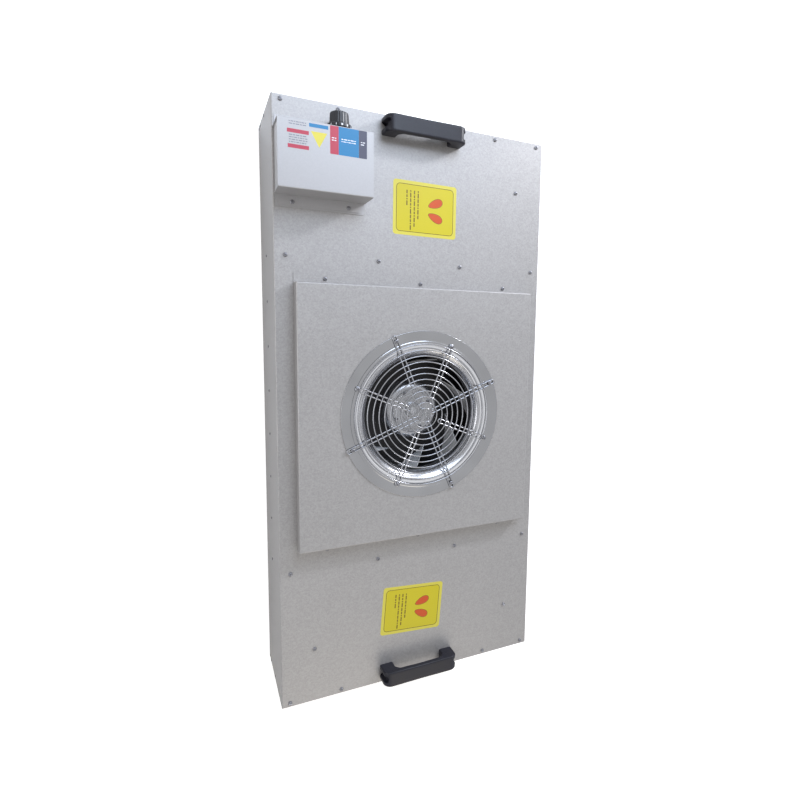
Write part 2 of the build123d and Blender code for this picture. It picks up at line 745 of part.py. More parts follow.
# Wound copper: a bundle in every slot, joined above and below the core
with BuildPart() as stator_winding:
    winding_radius = stator_core_radius - winding_inset
    winding_inner_radius = stator_core_radius - slot_depth
    for end_z in (core_top_z + seat_gap, core_base_z - seat_gap - winding_overhang):
        with BuildSketch(Plane.XY.offset(end_z)):
            RegularPolygon(winding_radius, stator_slots)
            RegularPolygon(winding_inner_radius, stator_slots, mode=Mode.SUBTRACT)
        extrude(amount=winding_overhang)
    with BuildSketch(Plane.XY.offset(core_base_z - seat_gap)):
        with PolarLocations((winding_radius + winding_inner_radius) / 2, stator_slots):
            Rectangle(slot_depth - winding_inset - 1, slot_width - 1)
    extrude(amount=stator_core_height + 2 * seat_gap)
save(stator_winding, "stator_winding")

for bearing_z, level in ((lower_bearing_z, "lower"), (upper_bearing_z, "upper")):
    with BuildPart() as bearing:
        with BuildSketch(Plane.XY.offset(bearing_z)):
            Circle(bearing_radius)
            Circle(shaft_radius + running_clearance, mode=Mode.SUBTRACT)
        extrude(amount=bearing_width)
    save(bearing, f"bearing_{level}")

# ---------------------------------------------------------------- motor, turning part
with BuildPart() as rotor_can:
    shoulder_center = (rotor_radius - rotor_shoulder, rotor_front - rotor_shoulder)
    shoulder = arc_points(shoulder_center, rotor_shoulder, 0, 90, rotor_chords)
    turned([(rotor_step_radius, rotor_base), (rotor_step_radius, rotor_step_height)])
    turned([(rotor_radius, rotor_step_height), *shoulder])
    with BuildSketch(Plane.XY.offset(rotor_front)):
        RegularPolygon(hub_radius, fan_sides // 2)
    extrude(amount=hub_height)
    with BuildSketch(Plane.XY.offset(rotor_base)):
        RegularPolygon(rotor_bore_radius, fan_sides, major_radius=False)
    extrude(amount=rotor_top_inside_z - rotor_base, mode=Mode.SUBTRACT)
    with BuildSketch(Plane.XY.offset(rotor_base)):
        Circle(shaft_radius + press_clearance)
    extrude(amount=hub_face_z - rotor_base, mode=Mode.SUBTRACT)
    rotor_screw_points = [polar(rotor_screw_circle, rotor_screw_angle + 90 * i) for i in range(4)]
    with BuildSketch(Plane.XY.offset(rotor_front)):
        with Locations(*rotor_screw_points):
            RegularPolygon(screw_radius + hole_clearance, fastener_sides)
    extrude(amount=-front_web, mode=Mode.SUBTRACT)
save(rotor_can, "rotor_can")

rotor_screws = pan_screws(rotor_screw_points, rotor_front + seat_gap, front_web - 1)
save(rotor_screws, "rotor_screws")

with BuildPart() as motor_shaft:
    with BuildSketch(Plane.XY.offset(lower_bearing_z - seat_gap)):
        Circle(shaft_radius)
    extrude(amount=hub_face_z - lower_bearing_z + seat_gap)
save(motor_shaft, "motor_shaft")

# ---------------------------------------------------------------- impeller
shroud_center = (shroud_radius + shroud_curve, shroud_bend_z)


def shroud_side(curve):
    """One face of the shroud from lip to rim, at one distance from the centre of its curve."""
    turn = arc_points(shroud_center, curve, 180, 90 - shroud_slope, shroud_chords)
    turn_x, turn_z = turn[-1]
    rim = (impeller_radius, turn_z - (impeller_radius - turn_x) * tan(radians(shroud_slope)))
    return [(shroud_center[0] - curve, shroud_top_z), *turn, rim]


with BuildPart() as impeller_shroud:
    under = shroud_side(shroud_curve)
    over = shroud_side(shroud_curve - shroud_sheet)
    turned([under[-1], *reversed(over)])
    turned(under[::-1], Mode.SUBTRACT)
save(impeller_shroud, "impeller_shroud")

with BuildPart() as impeller_back_plate:
    with BuildSketch(Plane.XY.offset(back_plate_z)):
        RegularPolygon(impeller_radius, fan_sides, major_radius=False)
        back_plate_bore = rotor_radius + press_clearance
        RegularPolygon(back_plate_bore, fan_sides, major_radius=False, mode=Mode.SUBTRACT)
    extrude(amount=back_plate_sheet)
save(impeller_back_plate, "impeller_back_plate")

# Backward-curved blades: bent strips cut to the room between back plate and shroud
blade_base_z = back_plate_top_z + seat_gap
shroud_room = shroud_side(shroud_curve + seat_gap)[:0:-1]
with BuildPart() as blade_room:
    turned([(impeller_radius, blade_base_z), *shroud_room])
    turned([(blade_inner_radius - blade_sheet, blade_base_z), shroud_room[-1]], Mode.SUBTRACT)

with BuildPart() as impeller_blades:
    for i in range(blade_count):
        root_angle = blade_first_angle + 360 / blade_count * i
        with BuildSketch(Plane.XY.offset(blade_base_z)):
            with BuildLine():
                blade_line = ThreePointArc(
                    polar(blade_inner_radius, root_angle),
                    polar(blade_middle_radius, root_angle - blade_middle_lean),
                    polar(impeller_radius - blade_sheet, root_angle - blade_lean),
                )
                bend_points = [blade_line @ (j / blade_chords) for j in range(blade_chords + 1)]
            with BuildLine():
                blade_bend = Polyline(*bend_points)
            trace(blade_bend, blade_sheet)
        extrude(amount=shroud_top_z - blade_base_z)
    add(blade_room.part, mode=Mode.INTERSECT)
save(impeller_blades, "impeller_blades")

# ---------------------------------------------------------------- control box
box_center = (box_center_x, box_center_y)
box_half_width = box_width / 2
box_half_length = box_length / 2
flange_y = box_half_length + box_flange
cover_z = foot_top_z + seat_gap
inner_wall_y = box_wall_y - sheet
foot_half_width = box_half_width - box_foot_inset
mains_point = (box_center_x + mains_hole_place[0], top_z + mains_hole_place[1])

with BuildPart() as control_box_foot:
    with BuildSketch(Plane.XY.offset(top_seat_z)):
        with Locations(box_center):
            Rectangle(2 * foot_half_width, 2 * (flange_y + box_foot_margin))
    extrude(amount=sheet)
    wall_height = box_top_z - sheet - seat_gap - top_seat_z
    with BuildSketch(Plane.XY.offset(top_seat_z)):
        for side in (-1, 1):
            with Locations((box_center_x + side * (foot_half_width - sheet / 2), box_center_y)):
                Rectangle(sheet, box_length - 2 * sheet - 2 * seat_gap)
    extrude(amount=wall_height)
    with BuildSketch(Plane.XY.offset(top_seat_z)):
        with Locations(*box_screw_points):
            RegularPolygon(screw_radius + hole_clearance, fastener_sides)
        with Locations(wire_hole_point):
            RegularPolygon(wire_hole_radius, grommet_sides)
        with Locations(hidden_baffle_point):
            RegularPolygon(screw_head_radius + hole_clearance, head_sides)
    extrude(amount=sheet, mode=Mode.SUBTRACT)
save(control_box_foot, "control_box_foot")

with BuildPart() as control_box_cover:
    with BuildSketch(Plane.YZ.offset(box_center_x)) as cover_section:
        with Locations((box_center_y, cover_z)):
            Rectangle(box_length, box_top_z - cover_z, align=(Align.CENTER, Align.MIN))
        fillet(cover_section.vertices().group_by(Axis.Y)[-1], bend_radius + sheet)
        with Locations((box_center_y, cover_z - sheet)):
            Rectangle(
                box_length - 2 * sheet,
                box_top_z - cover_z,
                align=(Align.CENTER, Align.MIN),
                mode=Mode.SUBTRACT,
            )
    extrude(amount=box_half_width, both=True)
    with BuildSketch(Plane.XY.offset(cover_z)):
        with Locations(box_center):
            short = box_half_width - box_flange_taper
            corner = [(box_half_width, box_half_length), (short, flange_y)]
            right = [(x, -y) for x, y in reversed(corner)] + corner
            Polygon(*right, *[(-x, -y) for x, y in right], align=None)
            Rectangle(box_width, box_length - 2 * sheet, mode=Mode.SUBTRACT)
        with Locations(*box_screw_points):
            RegularPolygon(screw_radius + hole_clearance, fastener_sides, mode=Mode.SUBTRACT)
    extrude(amount=sheet)
    with BuildSketch(Plane.XZ.offset(-box_wall_y)):
        with Locations((knob_x, knob_z)):
            RegularPolygon(bush_radius + 2 * hole_clearance, grommet_sides)
        with Locations(mains_point):
            RegularPolygon(mains_hole_radius, grommet_sides)
    extrude(amount=2 * sheet, mode=Mode.SUBTRACT)
save(control_box_cover, "control_box_cover")

control_box_screws = pan_screws(box_screw_points, cover_z + sheet + seat_gap, screw_length)
save(control_box_screws, "control_box_screws")

with BuildPart() as speed_controller:
    controller_face_y = inner_wall_y - seat_gap
    with BuildSketch(Plane.XZ.offset(-controller_face_y)):
        with Locations((knob_x, knob_z)):
            Rectangle(controller_width, controller_height)
    extrude(amount=controller_depth)
    with BuildSketch(Plane.XZ.offset(-controller_face_y)):
        with Locations((knob_x, knob_z)):
            Circle(bush_radius)
    bush_length = sheet + 2 * seat_gap + bush_nut_height
    extrude(amount=-bush_length)
    with BuildSketch(Plane.XZ.offset(-controller_face_y - bush_length)):
        with Locations((knob_x, knob_z)):
            Circle(knob_shaft_radius + running_clearance)
    extrude(amount=bush_length + bush_bore_depth, mode=Mode.SUBTRACT)
save(speed_controller, "speed_controller")

with BuildPart() as controller_nut:
    with BuildSketch(Plane.XZ.offset(-box_wall_y - seat_gap)):
        with Locations((knob_x, knob_z)):
            RegularPolygon(bush_nut_across / 2, 6, major_radius=False)
            Circle(bush_radius + 2 * press_clearance, mode=Mode.SUBTRACT)
    extrude(amount=-bush_nut_height)
save(controller_nut, "controller_nut")

with BuildPart() as knob_shaft:
    shaft_end_y = knob_base_y + knob_bore_depth - seat_gap
    with BuildSketch(Plane.XZ.offset(-shaft_end_y)):
        with Locations((knob_x, knob_z)):
            Circle(knob_shaft_radius)
    extrude(amount=shaft_end_y - controller_face_y + bush_bore_depth - seat_gap)
save(knob_shaft, "knob_shaft")

with BuildPart() as speed_knob:
    with BuildSketch(Plane.XZ.offset(-knob_base_y)):
        with Locations((knob_x, knob_z)):
            Circle(knob_skirt_radius)
    extrude(amount=-knob_skirt_length)
    with BuildSketch(Plane.XZ.offset(-knob_base_y - knob_skirt_length)):
        with Locations((knob_x, knob_z)):
            RegularPolygon(knob_radius, knob_flats)
    extrude(amount=-(knob_length - knob_skirt_length), taper=knob_taper)
    chamfer(speed_knob.faces().sort_by(Axis.Y)[-1].edges(), knob_edge)
    with BuildSketch(Plane.XZ.offset(-knob_base_y)):
        with Locations((knob_x, knob_z)):
            Circle(knob_shaft_radius + press_clearance)
    extrude(amount=-knob_bore_depth, mode=Mode.SUBTRACT)
save(speed_knob, "speed_knob")

with BuildPart() as terminal_block:
    terminal_center = (box_center_x + terminal_place[0], box_center_y + terminal_place[1])
    terminal_pitch = terminal_width / terminal_ways
    with BuildSketch(Plane.XY.offset(foot_top_z + seat_gap)):
        with Locations(terminal_center):
            Rectangle(terminal_width, terminal_depth)
    extrude(amount=terminal_height)
    chamfer(terminal_block.edges().filter_by(Axis.X).group_by(Axis.Z)[-1], terminal_entry)
    with BuildSketch(Plane.XY.offset(foot_top_z + seat_gap + terminal_height)):
        with Locations(terminal_center):
            with GridLocations(terminal_pitch, 1, terminal_ways, 1):
                RegularPolygon(terminal_entry, fastener_sides)
    extrude(amount=-terminal_height / 2, mode=Mode.SUBTRACT)
save(terminal_block, "terminal_block")

capacitor_x = box_center_x + capacitor_place[0]
capacitor_y = box_center_y + capacitor_place[1]
capacitor_z = foot_top_z + soft_gap + capacitor_radius
with BuildPart() as run_capacitor:
    with BuildSketch(Plane.YZ.offset(capacitor_x)):
        with Locations((capacitor_y, capacitor_z)):
            Circle(capacitor_radius)
    extrude(amount=capacitor_length / 2, both=True)
save(run_capacitor, "run_capacitor")

with BuildPart() as capacitor_clip:
    clip_inside = capacitor_radius + soft_gap
    clip_outside = clip_inside + clip_sheet
    with BuildSketch(Plane.YZ.offset(capacitor_x)):
        with Locations((capacitor_y, capacitor_z)):
            Circle(clip_outside)
        with Locations((capacitor_y, foot_top_z + seat_gap)):
            Rectangle(
                2 * clip_outside,
                capacitor_z - foot_top_z - seat_gap,
                align=(Align.CENTER, Align.MIN),
            )
        with Locations((capacitor_y - clip_outside, foot_top_z + seat_gap)):
            Rectangle(clip_foot, clip_sheet, align=(Align.MAX, Align.MIN))
        with Locations((capacitor_y, capacitor_z)):
            Circle(clip_inside, mode=Mode.SUBTRACT)
            Rectangle(
                2 * clip_inside,
                2 * clip_outside,
                align=(Align.CENTER, Align.MAX),
                mode=Mode.SUBTRACT,
            )
        split(bisect_by=Plane.XZ.offset(-capacitor_y), keep=Keep.BOTH)
    extrude(amount=clip_width / 2, both=True)
save(capacitor_clip, "capacitor_clip")


def grommet(center, toward, hole_radius, thickness):
    """A rubber grommet in a hole; center is in the far face, toward points out of the near one."""
    lip_radius = hole_radius + grommet_lip
    neck_radius = hole_radius - soft_gap
    neck = thickness + 2 * soft_gap
    far_face = Plane(origin=center, z_dir=toward).offset(-soft_gap - grommet_lip_height)
    with BuildPart() as ring:
        with BuildSketch(far_face):
            RegularPolygon(neck_radius, grommet_sides)
        extrude(amount=neck + 2 * grommet_lip_height)
        with BuildSketch(far_face, far_face.offset(neck + grommet_lip_height)):
            RegularPolygon(lip_radius, grommet_sides)
        extrude(amount=grommet_lip_height)
        with BuildSketch(far_face):
            RegularPolygon(neck_radius - grommet_wall, grommet_sides)
        extrude(amount=neck + 2 * grommet_lip_height, mode=Mode.SUBTRACT)
    return ring


wire_hole_low = (*wire_hole_point, top_z - sheet)
wire_grommet = grommet(wire_hole_low, (0, 0, 1), wire_hole_radius, 2 * sheet + seat_gap)
save(wire_grommet, "wire_grommet")

mains_hole_low = (mains_point[0], inner_wall_y, mains_point[1])
mains_grommet = grommet(mains_hole_low, (0, 1, 0), mains_hole_radius, sheet)
save(mains_grommet, "mains_grommet")

# ---------------------------------------------------------------- lifting handles
opening_height = handle_height - handle_bar
for side, end_name in ((1, "control_end"), (-1, "far_end")):
    with BuildPart() as handle:
        with BuildSketch(Plane.XZ.offset(-side * handle_y)) as bridge:
            with Locations((0, top_seat_z)):
                Rectangle(2 * handle_reach, handle_height, align=(Align.CENTER, Align.MIN))
            fillet(bridge.vertices().group_by(Axis.Y)[-1], handle_corner)
            with BuildLine():
                bevel_x = handle_opening - handle_inner_bevel
                bevel_z = top_seat_z + opening_height - handle_inner_bevel
                Polyline(
                    (-handle_opening, top_seat_z),
                    (-handle_opening, bevel_z),
                    (-bevel_x, top_seat_z + opening_height),
                    (bevel_x, top_seat_z + opening_height),
                    (handle_opening, bevel_z),
                    (handle_opening, top_seat_z),
                    close=True,
                )
            make_face(mode=Mode.SUBTRACT)
        extrude(amount=handle_width / 2, both=True)
        sides = handle.faces().filter_by(Axis.Y)
        top_edges = sides.edges().filter_by(lambda edge: edge.center().Z > top_seat_z + handle_edge)
        chamfer(top_edges, handle_edge)
        with BuildSketch(Plane.XY.offset(top_seat_z)) as grooves:
            with Locations((handle_reach, side * handle_y), (-handle_reach, side * handle_y)):
                Rectangle(2 * handle_groove_depth, handle_groove_width)
            chamfer(grooves.vertices(), handle_groove_depth / 2)
        extrude(amount=handle_height, mode=Mode.SUBTRACT)
        with BuildSketch(Plane.XY.offset(top_seat_z)):
            with Locations(*[p for p in handle_screw_points if p[1] * side > 0]):
                RegularPolygon(screw_radius + hole_clearance, fastener_sides)
        extrude(amount=handle_screw_bite, mode=Mode.SUBTRACT)
    save(handle, f"handle_{end_name}")

handle_screws = pan_screws(handle_screw_points, inner_top_z, sheet + handle_screw_bite, -1)
save(handle_screws, "handle_screws")
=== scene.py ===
"""Looks of the ceiling fan filter unit: finishes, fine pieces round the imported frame, and the studio.

Sizes are written in millimetres and turned into metres when a mesh is made.
"""

import json
import logging
import math
from dataclasses import dataclass, field
from enum import Enum
from typing import Sequence

import bmesh
import bpy
import numpy as np
from mathutils import Euler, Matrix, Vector


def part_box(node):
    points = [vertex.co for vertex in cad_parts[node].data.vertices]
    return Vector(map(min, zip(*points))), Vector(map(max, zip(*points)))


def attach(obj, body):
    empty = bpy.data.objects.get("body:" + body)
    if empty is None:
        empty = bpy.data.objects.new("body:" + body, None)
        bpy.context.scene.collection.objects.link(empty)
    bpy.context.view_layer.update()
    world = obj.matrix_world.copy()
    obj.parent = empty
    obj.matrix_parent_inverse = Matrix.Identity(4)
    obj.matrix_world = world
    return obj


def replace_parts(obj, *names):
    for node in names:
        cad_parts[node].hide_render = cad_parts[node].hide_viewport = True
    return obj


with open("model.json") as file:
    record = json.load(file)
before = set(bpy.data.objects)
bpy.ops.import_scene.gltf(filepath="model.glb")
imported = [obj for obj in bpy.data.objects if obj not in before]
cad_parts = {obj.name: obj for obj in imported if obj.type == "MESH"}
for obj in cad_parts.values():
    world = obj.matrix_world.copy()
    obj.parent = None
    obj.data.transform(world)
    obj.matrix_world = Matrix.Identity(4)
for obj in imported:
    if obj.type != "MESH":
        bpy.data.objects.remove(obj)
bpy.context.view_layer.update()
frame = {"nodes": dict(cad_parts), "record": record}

LOG = logging.getLogger("fan_filter_unit")
MILLIMETRE = 0.001
PLAIN_BEYOND = 148.0  # radius where the spun bell ends and its plain flange starts

# shares that patterns have in an effect's tone, and the waves per metre of its noises
COARSE_SHARE, FINE_SHARE, FINE_CELLS = 0.45, 0.30, 2.7
CLOUD_SHARE, CLOUD_WAVES = 0.25, 5.0
RING_SHARE, QUICK_RINGS = 0.22, 2.73
STREAK_SHARE, STREAK_BASE, STREAK_WAVES = 0.35, 0.33, 30.0
FLANGE_SHARE, FLANGE_WAVES = 0.30, 9.0

Array = np.ndarray
Socket = bpy.types.NodeSocket
Pair = tuple[float, float]
Triple = tuple[float, float, float]
WHITE = (1.0, 1.0, 1.0, 1.0)


def from_display(shown: Triple) -> Triple:
    """Turn a colour as a screen shows it, 0 to 255, into the linear one of shaders, by the sRGB curve."""
    share = np.array(shown) / 255.0
    linear = np.where(share <= 0.04045, share / 12.92, ((share + 0.055) / 1.055) ** 2.4)
    return tuple(float(part) for part in linear)


def linked(name: str, data: bpy.types.ID) -> bpy.types.Object:
    """Make an object of some data and link it to the scene."""
    made = bpy.data.objects.new(name, data)
    bpy.context.scene.collection.objects.link(made)
    return made


# ---- shader effects
class Effect(Enum):
    """Surface patterns that several finishes share, each one node group."""

    SPANGLE = "zinc_spangle"
    SPUN = "spun_rings"
    GRAIN = "moulded_grain"
    FIBRE = "pressed_fibre"


@dataclass
class Shader:
    """A node tree under construction, whose nodes get links or plain values at their inputs."""

    tree: bpy.types.NodeTree

    def fill(self, node: bpy.types.Node, inputs: dict) -> bpy.types.Node:
        """Link or set each input of a node, by name or number, and give the node back."""
        for place, value in inputs.items():
            if isinstance(value, Socket):
                self.tree.links.new(value, node.inputs[place])
            else:
                node.inputs[place].default_value = value
        return node

    def node(self, kind: str, **inputs: Socket | float) -> bpy.types.Node:
        """Add a node of some kind and fill its inputs."""
        return self.fill(self.tree.nodes.new(f"ShaderNode{kind}"), inputs)

    def math(self, operation: str, *values: Socket | float) -> Socket:
        """Add a Math node, fill its inputs and give its output."""
        node = self.fill(self.node("Math"), dict(enumerate(values)))
        node.operation = operation
        return node.outputs[0]


@dataclass
class EffectGroup(Shader):
    """A shared node group with Vector and Scale inputs, and Tone and Height outputs."""

    tree: bpy.types.NodeTree = field(init=False)
    effect: Effect

    def __post_init__(self) -> None:
        """Make the empty group and its sockets."""
        self.tree = bpy.data.node_groups.new(self.effect.value, "ShaderNodeTree")
        ends = (("Vector", "INPUT"), ("Scale", "INPUT"), ("Tone", "OUTPUT"), ("Height", "OUTPUT"))
        for name, end in ends:
            kind = "NodeSocketVector" if name == "Vector" else "NodeSocketFloat"
            self.tree.interface.new_socket(name, in_out=end, socket_type=kind)
        self.inputs = self.tree.nodes.new("NodeGroupInput").outputs

    def total(self, *terms: tuple[Socket, float]) -> Socket:
        """Add up sockets, each times its own share."""
        result, *others = [self.math("MULTIPLY", socket, share) for socket, share in terms]
        for other in others:
            result = self.math("ADD", result, other)
        return result

    def noise(self, scale: Socket | float, detail: float) -> Socket:
        """Add a noise over the Vector input, by its waves per metre and its octaves of finer noise."""
        return self.node("TexNoise", Vector=self.inputs["Vector"], Scale=scale, Detail=detail).outputs["Fac"]

    def cells(self, share: float) -> Socket:
        """Add crystal cells of one even value each, so many for each cell of the Scale input."""
        scale = self.math("MULTIPLY", self.inputs["Scale"], share)
        crystals = self.node("TexVoronoi", Vector=self.inputs["Vector"], Scale=scale)
        return self.node("SeparateColor", Color=crystals.outputs["Color"]).outputs["Red"]

    def radius(self) -> Socket:
        """Give the distance from the fan axis, the root of x squared plus y squared."""
        place = self.node("SeparateXYZ", Vector=self.inputs["Vector"]).outputs
        squares = [self.math("MULTIPLY", place[axis], place[axis]) for axis in ("X", "Y")]
        return self.math("SQRT", self.math("ADD", *squares))

    def finish(self, tone: Socket, height: Socket) -> bpy.types.NodeTree:
        """Join the two outputs and give the group."""
        self.fill(self.tree.nodes.new("NodeGroupOutput"), {"Tone": tone, "Height": height})
        return self.tree


def build_effects() -> dict[Effect, bpy.types.NodeTree]:
    """Make the shared node groups: crystals, turned rings, moulded grain and pressed fibre."""
    groups = {}

    zinc = EffectGroup(Effect.SPANGLE)
    crystals = zinc.total((zinc.cells(1.0), COARSE_SHARE), (zinc.cells(FINE_CELLS), FINE_SHARE))
    tone = zinc.total((crystals, 1.0), (zinc.noise(CLOUD_WAVES, detail=3.0), CLOUD_SHARE))
    groups[Effect.SPANGLE] = zinc.finish(tone, crystals)

    rings = EffectGroup(Effect.SPUN)
    turns = rings.math("MULTIPLY", rings.radius(), rings.inputs["Scale"])
    quick = rings.math("SINE", rings.math("MULTIPLY", turns, QUICK_RINGS))
    waves = rings.total((rings.math("SINE", turns), RING_SHARE), (quick, RING_SHARE))
    turned = rings.math("LESS_THAN", rings.radius(), PLAIN_BEYOND * MILLIMETRE)
    wave = rings.math("MULTIPLY", waves, turned)
    streak = rings.total((rings.noise(STREAK_WAVES, detail=2.0), STREAK_SHARE))
    level = rings.math("MULTIPLY", rings.math("ADD", streak, STREAK_BASE), turned)
    plain = rings.noise(FLANGE_WAVES, detail=2.0)
    tone = rings.total((wave, 1.0), (level, 1.0), (plain, FLANGE_SHARE))
    groups[Effect.SPUN] = rings.finish(tone, wave)

    # fine noise by the Scale input, with its share of the tone, and a slow one for the rest
    for effect, detail, share, slow_waves, slow_detail in (
        (Effect.GRAIN, 4.0, 0.5, 55.0, 3.0),
        (Effect.FIBRE, 8.0, 0.7, 24.0, 2.0),
    ):
        group = EffectGroup(effect)
        fine = group.noise(group.inputs["Scale"], detail)
        tone = group.total((fine, share), (group.noise(slow_waves, slow_detail), 1.0 - share))
        groups[effect] = group.finish(tone, fine)
    return groups


@dataclass(frozen=True)
class Finish:
    """One surface finish: its colour swings with the effect's tone, and its relief follows the height.

    The name is a material slot of the record, or for print and marks a name of its own. The colour is
    as a screen shows it, 0 to 255.
    """

    effect: Effect
    name: str
    colour: Triple
    roughness: float
    metallic: float
    scale: float
    swing: float
    gloss_swing: float
    relief: float
    shine: float = 0.5

    def material(self, groups: dict[Effect, bpy.types.NodeTree]) -> bpy.types.Material:
        """Build the finish as a material round its node group, one of the shared ones."""
        made = bpy.data.materials.new(self.name)
        made.use_nodes = True
        shader = Shader(made.node_tree)
        pattern = shader.node("Group")
        pattern.node_tree = groups[self.effect]
        shader.fill(pattern, {"Vector": shader.node("TexCoord").outputs["Object"], "Scale": self.scale})
        tone = pattern.outputs["Tone"]

        shade = shader.node("Mix")
        shade.data_type = "RGBA"
        colour = from_display(self.colour)
        low = [max(0.0, part * (1 - self.swing)) for part in colour]
        high = [min(1.0, part * (1 + self.swing)) for part in colour]
        for socket in shade.inputs:
            if socket.type == "RGBA":
                socket.default_value = (*(low if socket.name == "A" else high), 1.0)
        shader.fill(shade, {"Factor": tone})

        dull, glossy = self.roughness + self.gloss_swing, self.roughness - self.gloss_swing
        gloss = shader.node("MapRange", Value=tone)
        shader.fill(gloss, {"To Min": max(0.03, glossy), "To Max": min(1.0, dull)})
        bump = shader.node("Bump", Distance=self.relief * MILLIMETRE, Height=pattern.outputs["Height"])
        surface = {
            "Metallic": self.metallic,
            "Specular IOR Level": self.shine,
            "Base Color": next(socket for socket in shade.outputs if socket.type == "RGBA"),
            "Roughness": gloss.outputs["Result"],
            "Normal": bump.outputs["Normal"],
        }
        shader.fill(made.node_tree.nodes["Principled BSDF"], surface)
        return made


# by effect: name, colour, roughness, metallic, scale, swing, gloss swing, relief in mm, shine if not 0.5
FINISH_ROWS = {
    Effect.SPANGLE: (
        ("galvanised_sheet", (160, 158, 158), 0.46, 0.42, 380.0, 0.19, 0.09, 0.009),
        ("control_box_sheet", (168, 167, 169), 0.42, 0.30, 420.0, 0.05, 0.06, 0.006),
    ),
    Effect.SPUN: (
        ("spun_steel", (184, 185, 189), 0.22, 0.96, 900.0, 0.50, 0.07, 0.05),
        ("turned_steel", (186, 188, 193), 0.25, 0.95, 1400.0, 0.12, 0.06, 0.01),
        ("rotor_silver", (166, 167, 171), 0.26, 0.90, 420.0, 0.22, 0.08, 0.03),
    ),
    Effect.GRAIN: (
        ("guard_wire", (152, 153, 158), 0.20, 0.92, 700.0, 0.14, 0.06, 0.01),
        ("zinc_fastener", (128, 128, 133), 0.32, 0.88, 900.0, 0.20, 0.10, 0.02),
        ("rivet_aluminium", (112, 112, 116), 0.36, 0.85, 900.0, 0.12, 0.10, 0.02),
        ("handle_plastic", (18, 18, 30), 0.36, 0.0, 620.0, 0.60, 0.18, 0.16, 0.36),
        ("knob_plastic", (32, 33, 39), 0.38, 0.0, 900.0, 0.20, 0.10, 0.03, 0.45),
        ("lamination_steel", (120, 118, 116), 0.45, 0.8, 500.0, 0.2, 0.1, 0.02),
        ("winding_copper", (176, 98, 52), 0.34, 0.75, 700.0, 0.25, 0.1, 0.08),
        # blade colour: light like aluminium, and raised further to near white as painted light, so the blades
        # in the fan's unlit cavity read bright
        ("blade_aluminium", (240, 241, 244), 0.45, 0.20, 260.0, 0.12, 0.10, 0.02),
        ("impeller_black", (20, 20, 23), 0.42, 0.0, 800.0, 0.25, 0.10, 0.03, 0.35),
        ("filter_aluminium", (186, 187, 190), 0.38, 0.85, 420.0, 0.10, 0.10, 0.01),
        ("face_guard_white", (232, 233, 234), 0.45, 0.0, 900.0, 0.05, 0.08, 0.02),
        ("seal_rubber", (38, 38, 40), 0.68, 0.0, 1200.0, 0.2, 0.1, 0.05),
        ("controller_plastic", (34, 36, 42), 0.45, 0.0, 900.0, 0.15, 0.08, 0.03),
        ("capacitor_can", (208, 208, 212), 0.30, 0.9, 300.0, 0.08, 0.08, 0.01),
        ("sticker_line", (110, 92, 14), 0.45, 0.0, 900.0, 0.10, 0.05, 0.0),
    ),
    Effect.FIBRE: (
        ("filter_paper", (242, 242, 238), 0.90, 0.0, 1400.0, 0.05, 0.05, 0.05),
        ("foam_charcoal", (52, 52, 55), 0.95, 0.0, 700.0, 0.35, 0.04, 0.8),
        ("sticker_yellow", (202, 188, 30), 0.40, 0.0, 500.0, 0.05, 0.06, 0.01),
        ("sticker_margin", (211, 200, 78), 0.40, 0.0, 500.0, 0.04, 0.06, 0.01),
        ("sticker_orange", (198, 78, 26), 0.42, 0.0, 500.0, 0.08, 0.05, 0.0),
        ("print_red", (178, 54, 76), 0.40, 0.0, 600.0, 0.05, 0.05, 0.0),
        ("print_blue", (28, 120, 172), 0.40, 0.0, 600.0, 0.05, 0.05, 0.0),
        ("print_slate", (66, 66, 86), 0.40, 0.0, 600.0, 0.05, 0.05, 0.0),
        ("print_yellow", (216, 204, 78), 0.40, 0.0, 600.0, 0.04, 0.05, 0.0),
        ("print_pale", (232, 234, 240), 0.42, 0.0, 600.0, 0.03, 0.05, 0.0),
        ("print_grey", (118, 120, 130), 0.42, 0.0, 600.0, 0.05, 0.05, 0.0),
    ),
}
FINISHES = [Finish(effect, *row) for effect, rows in FINISH_ROWS.items() for row in rows]


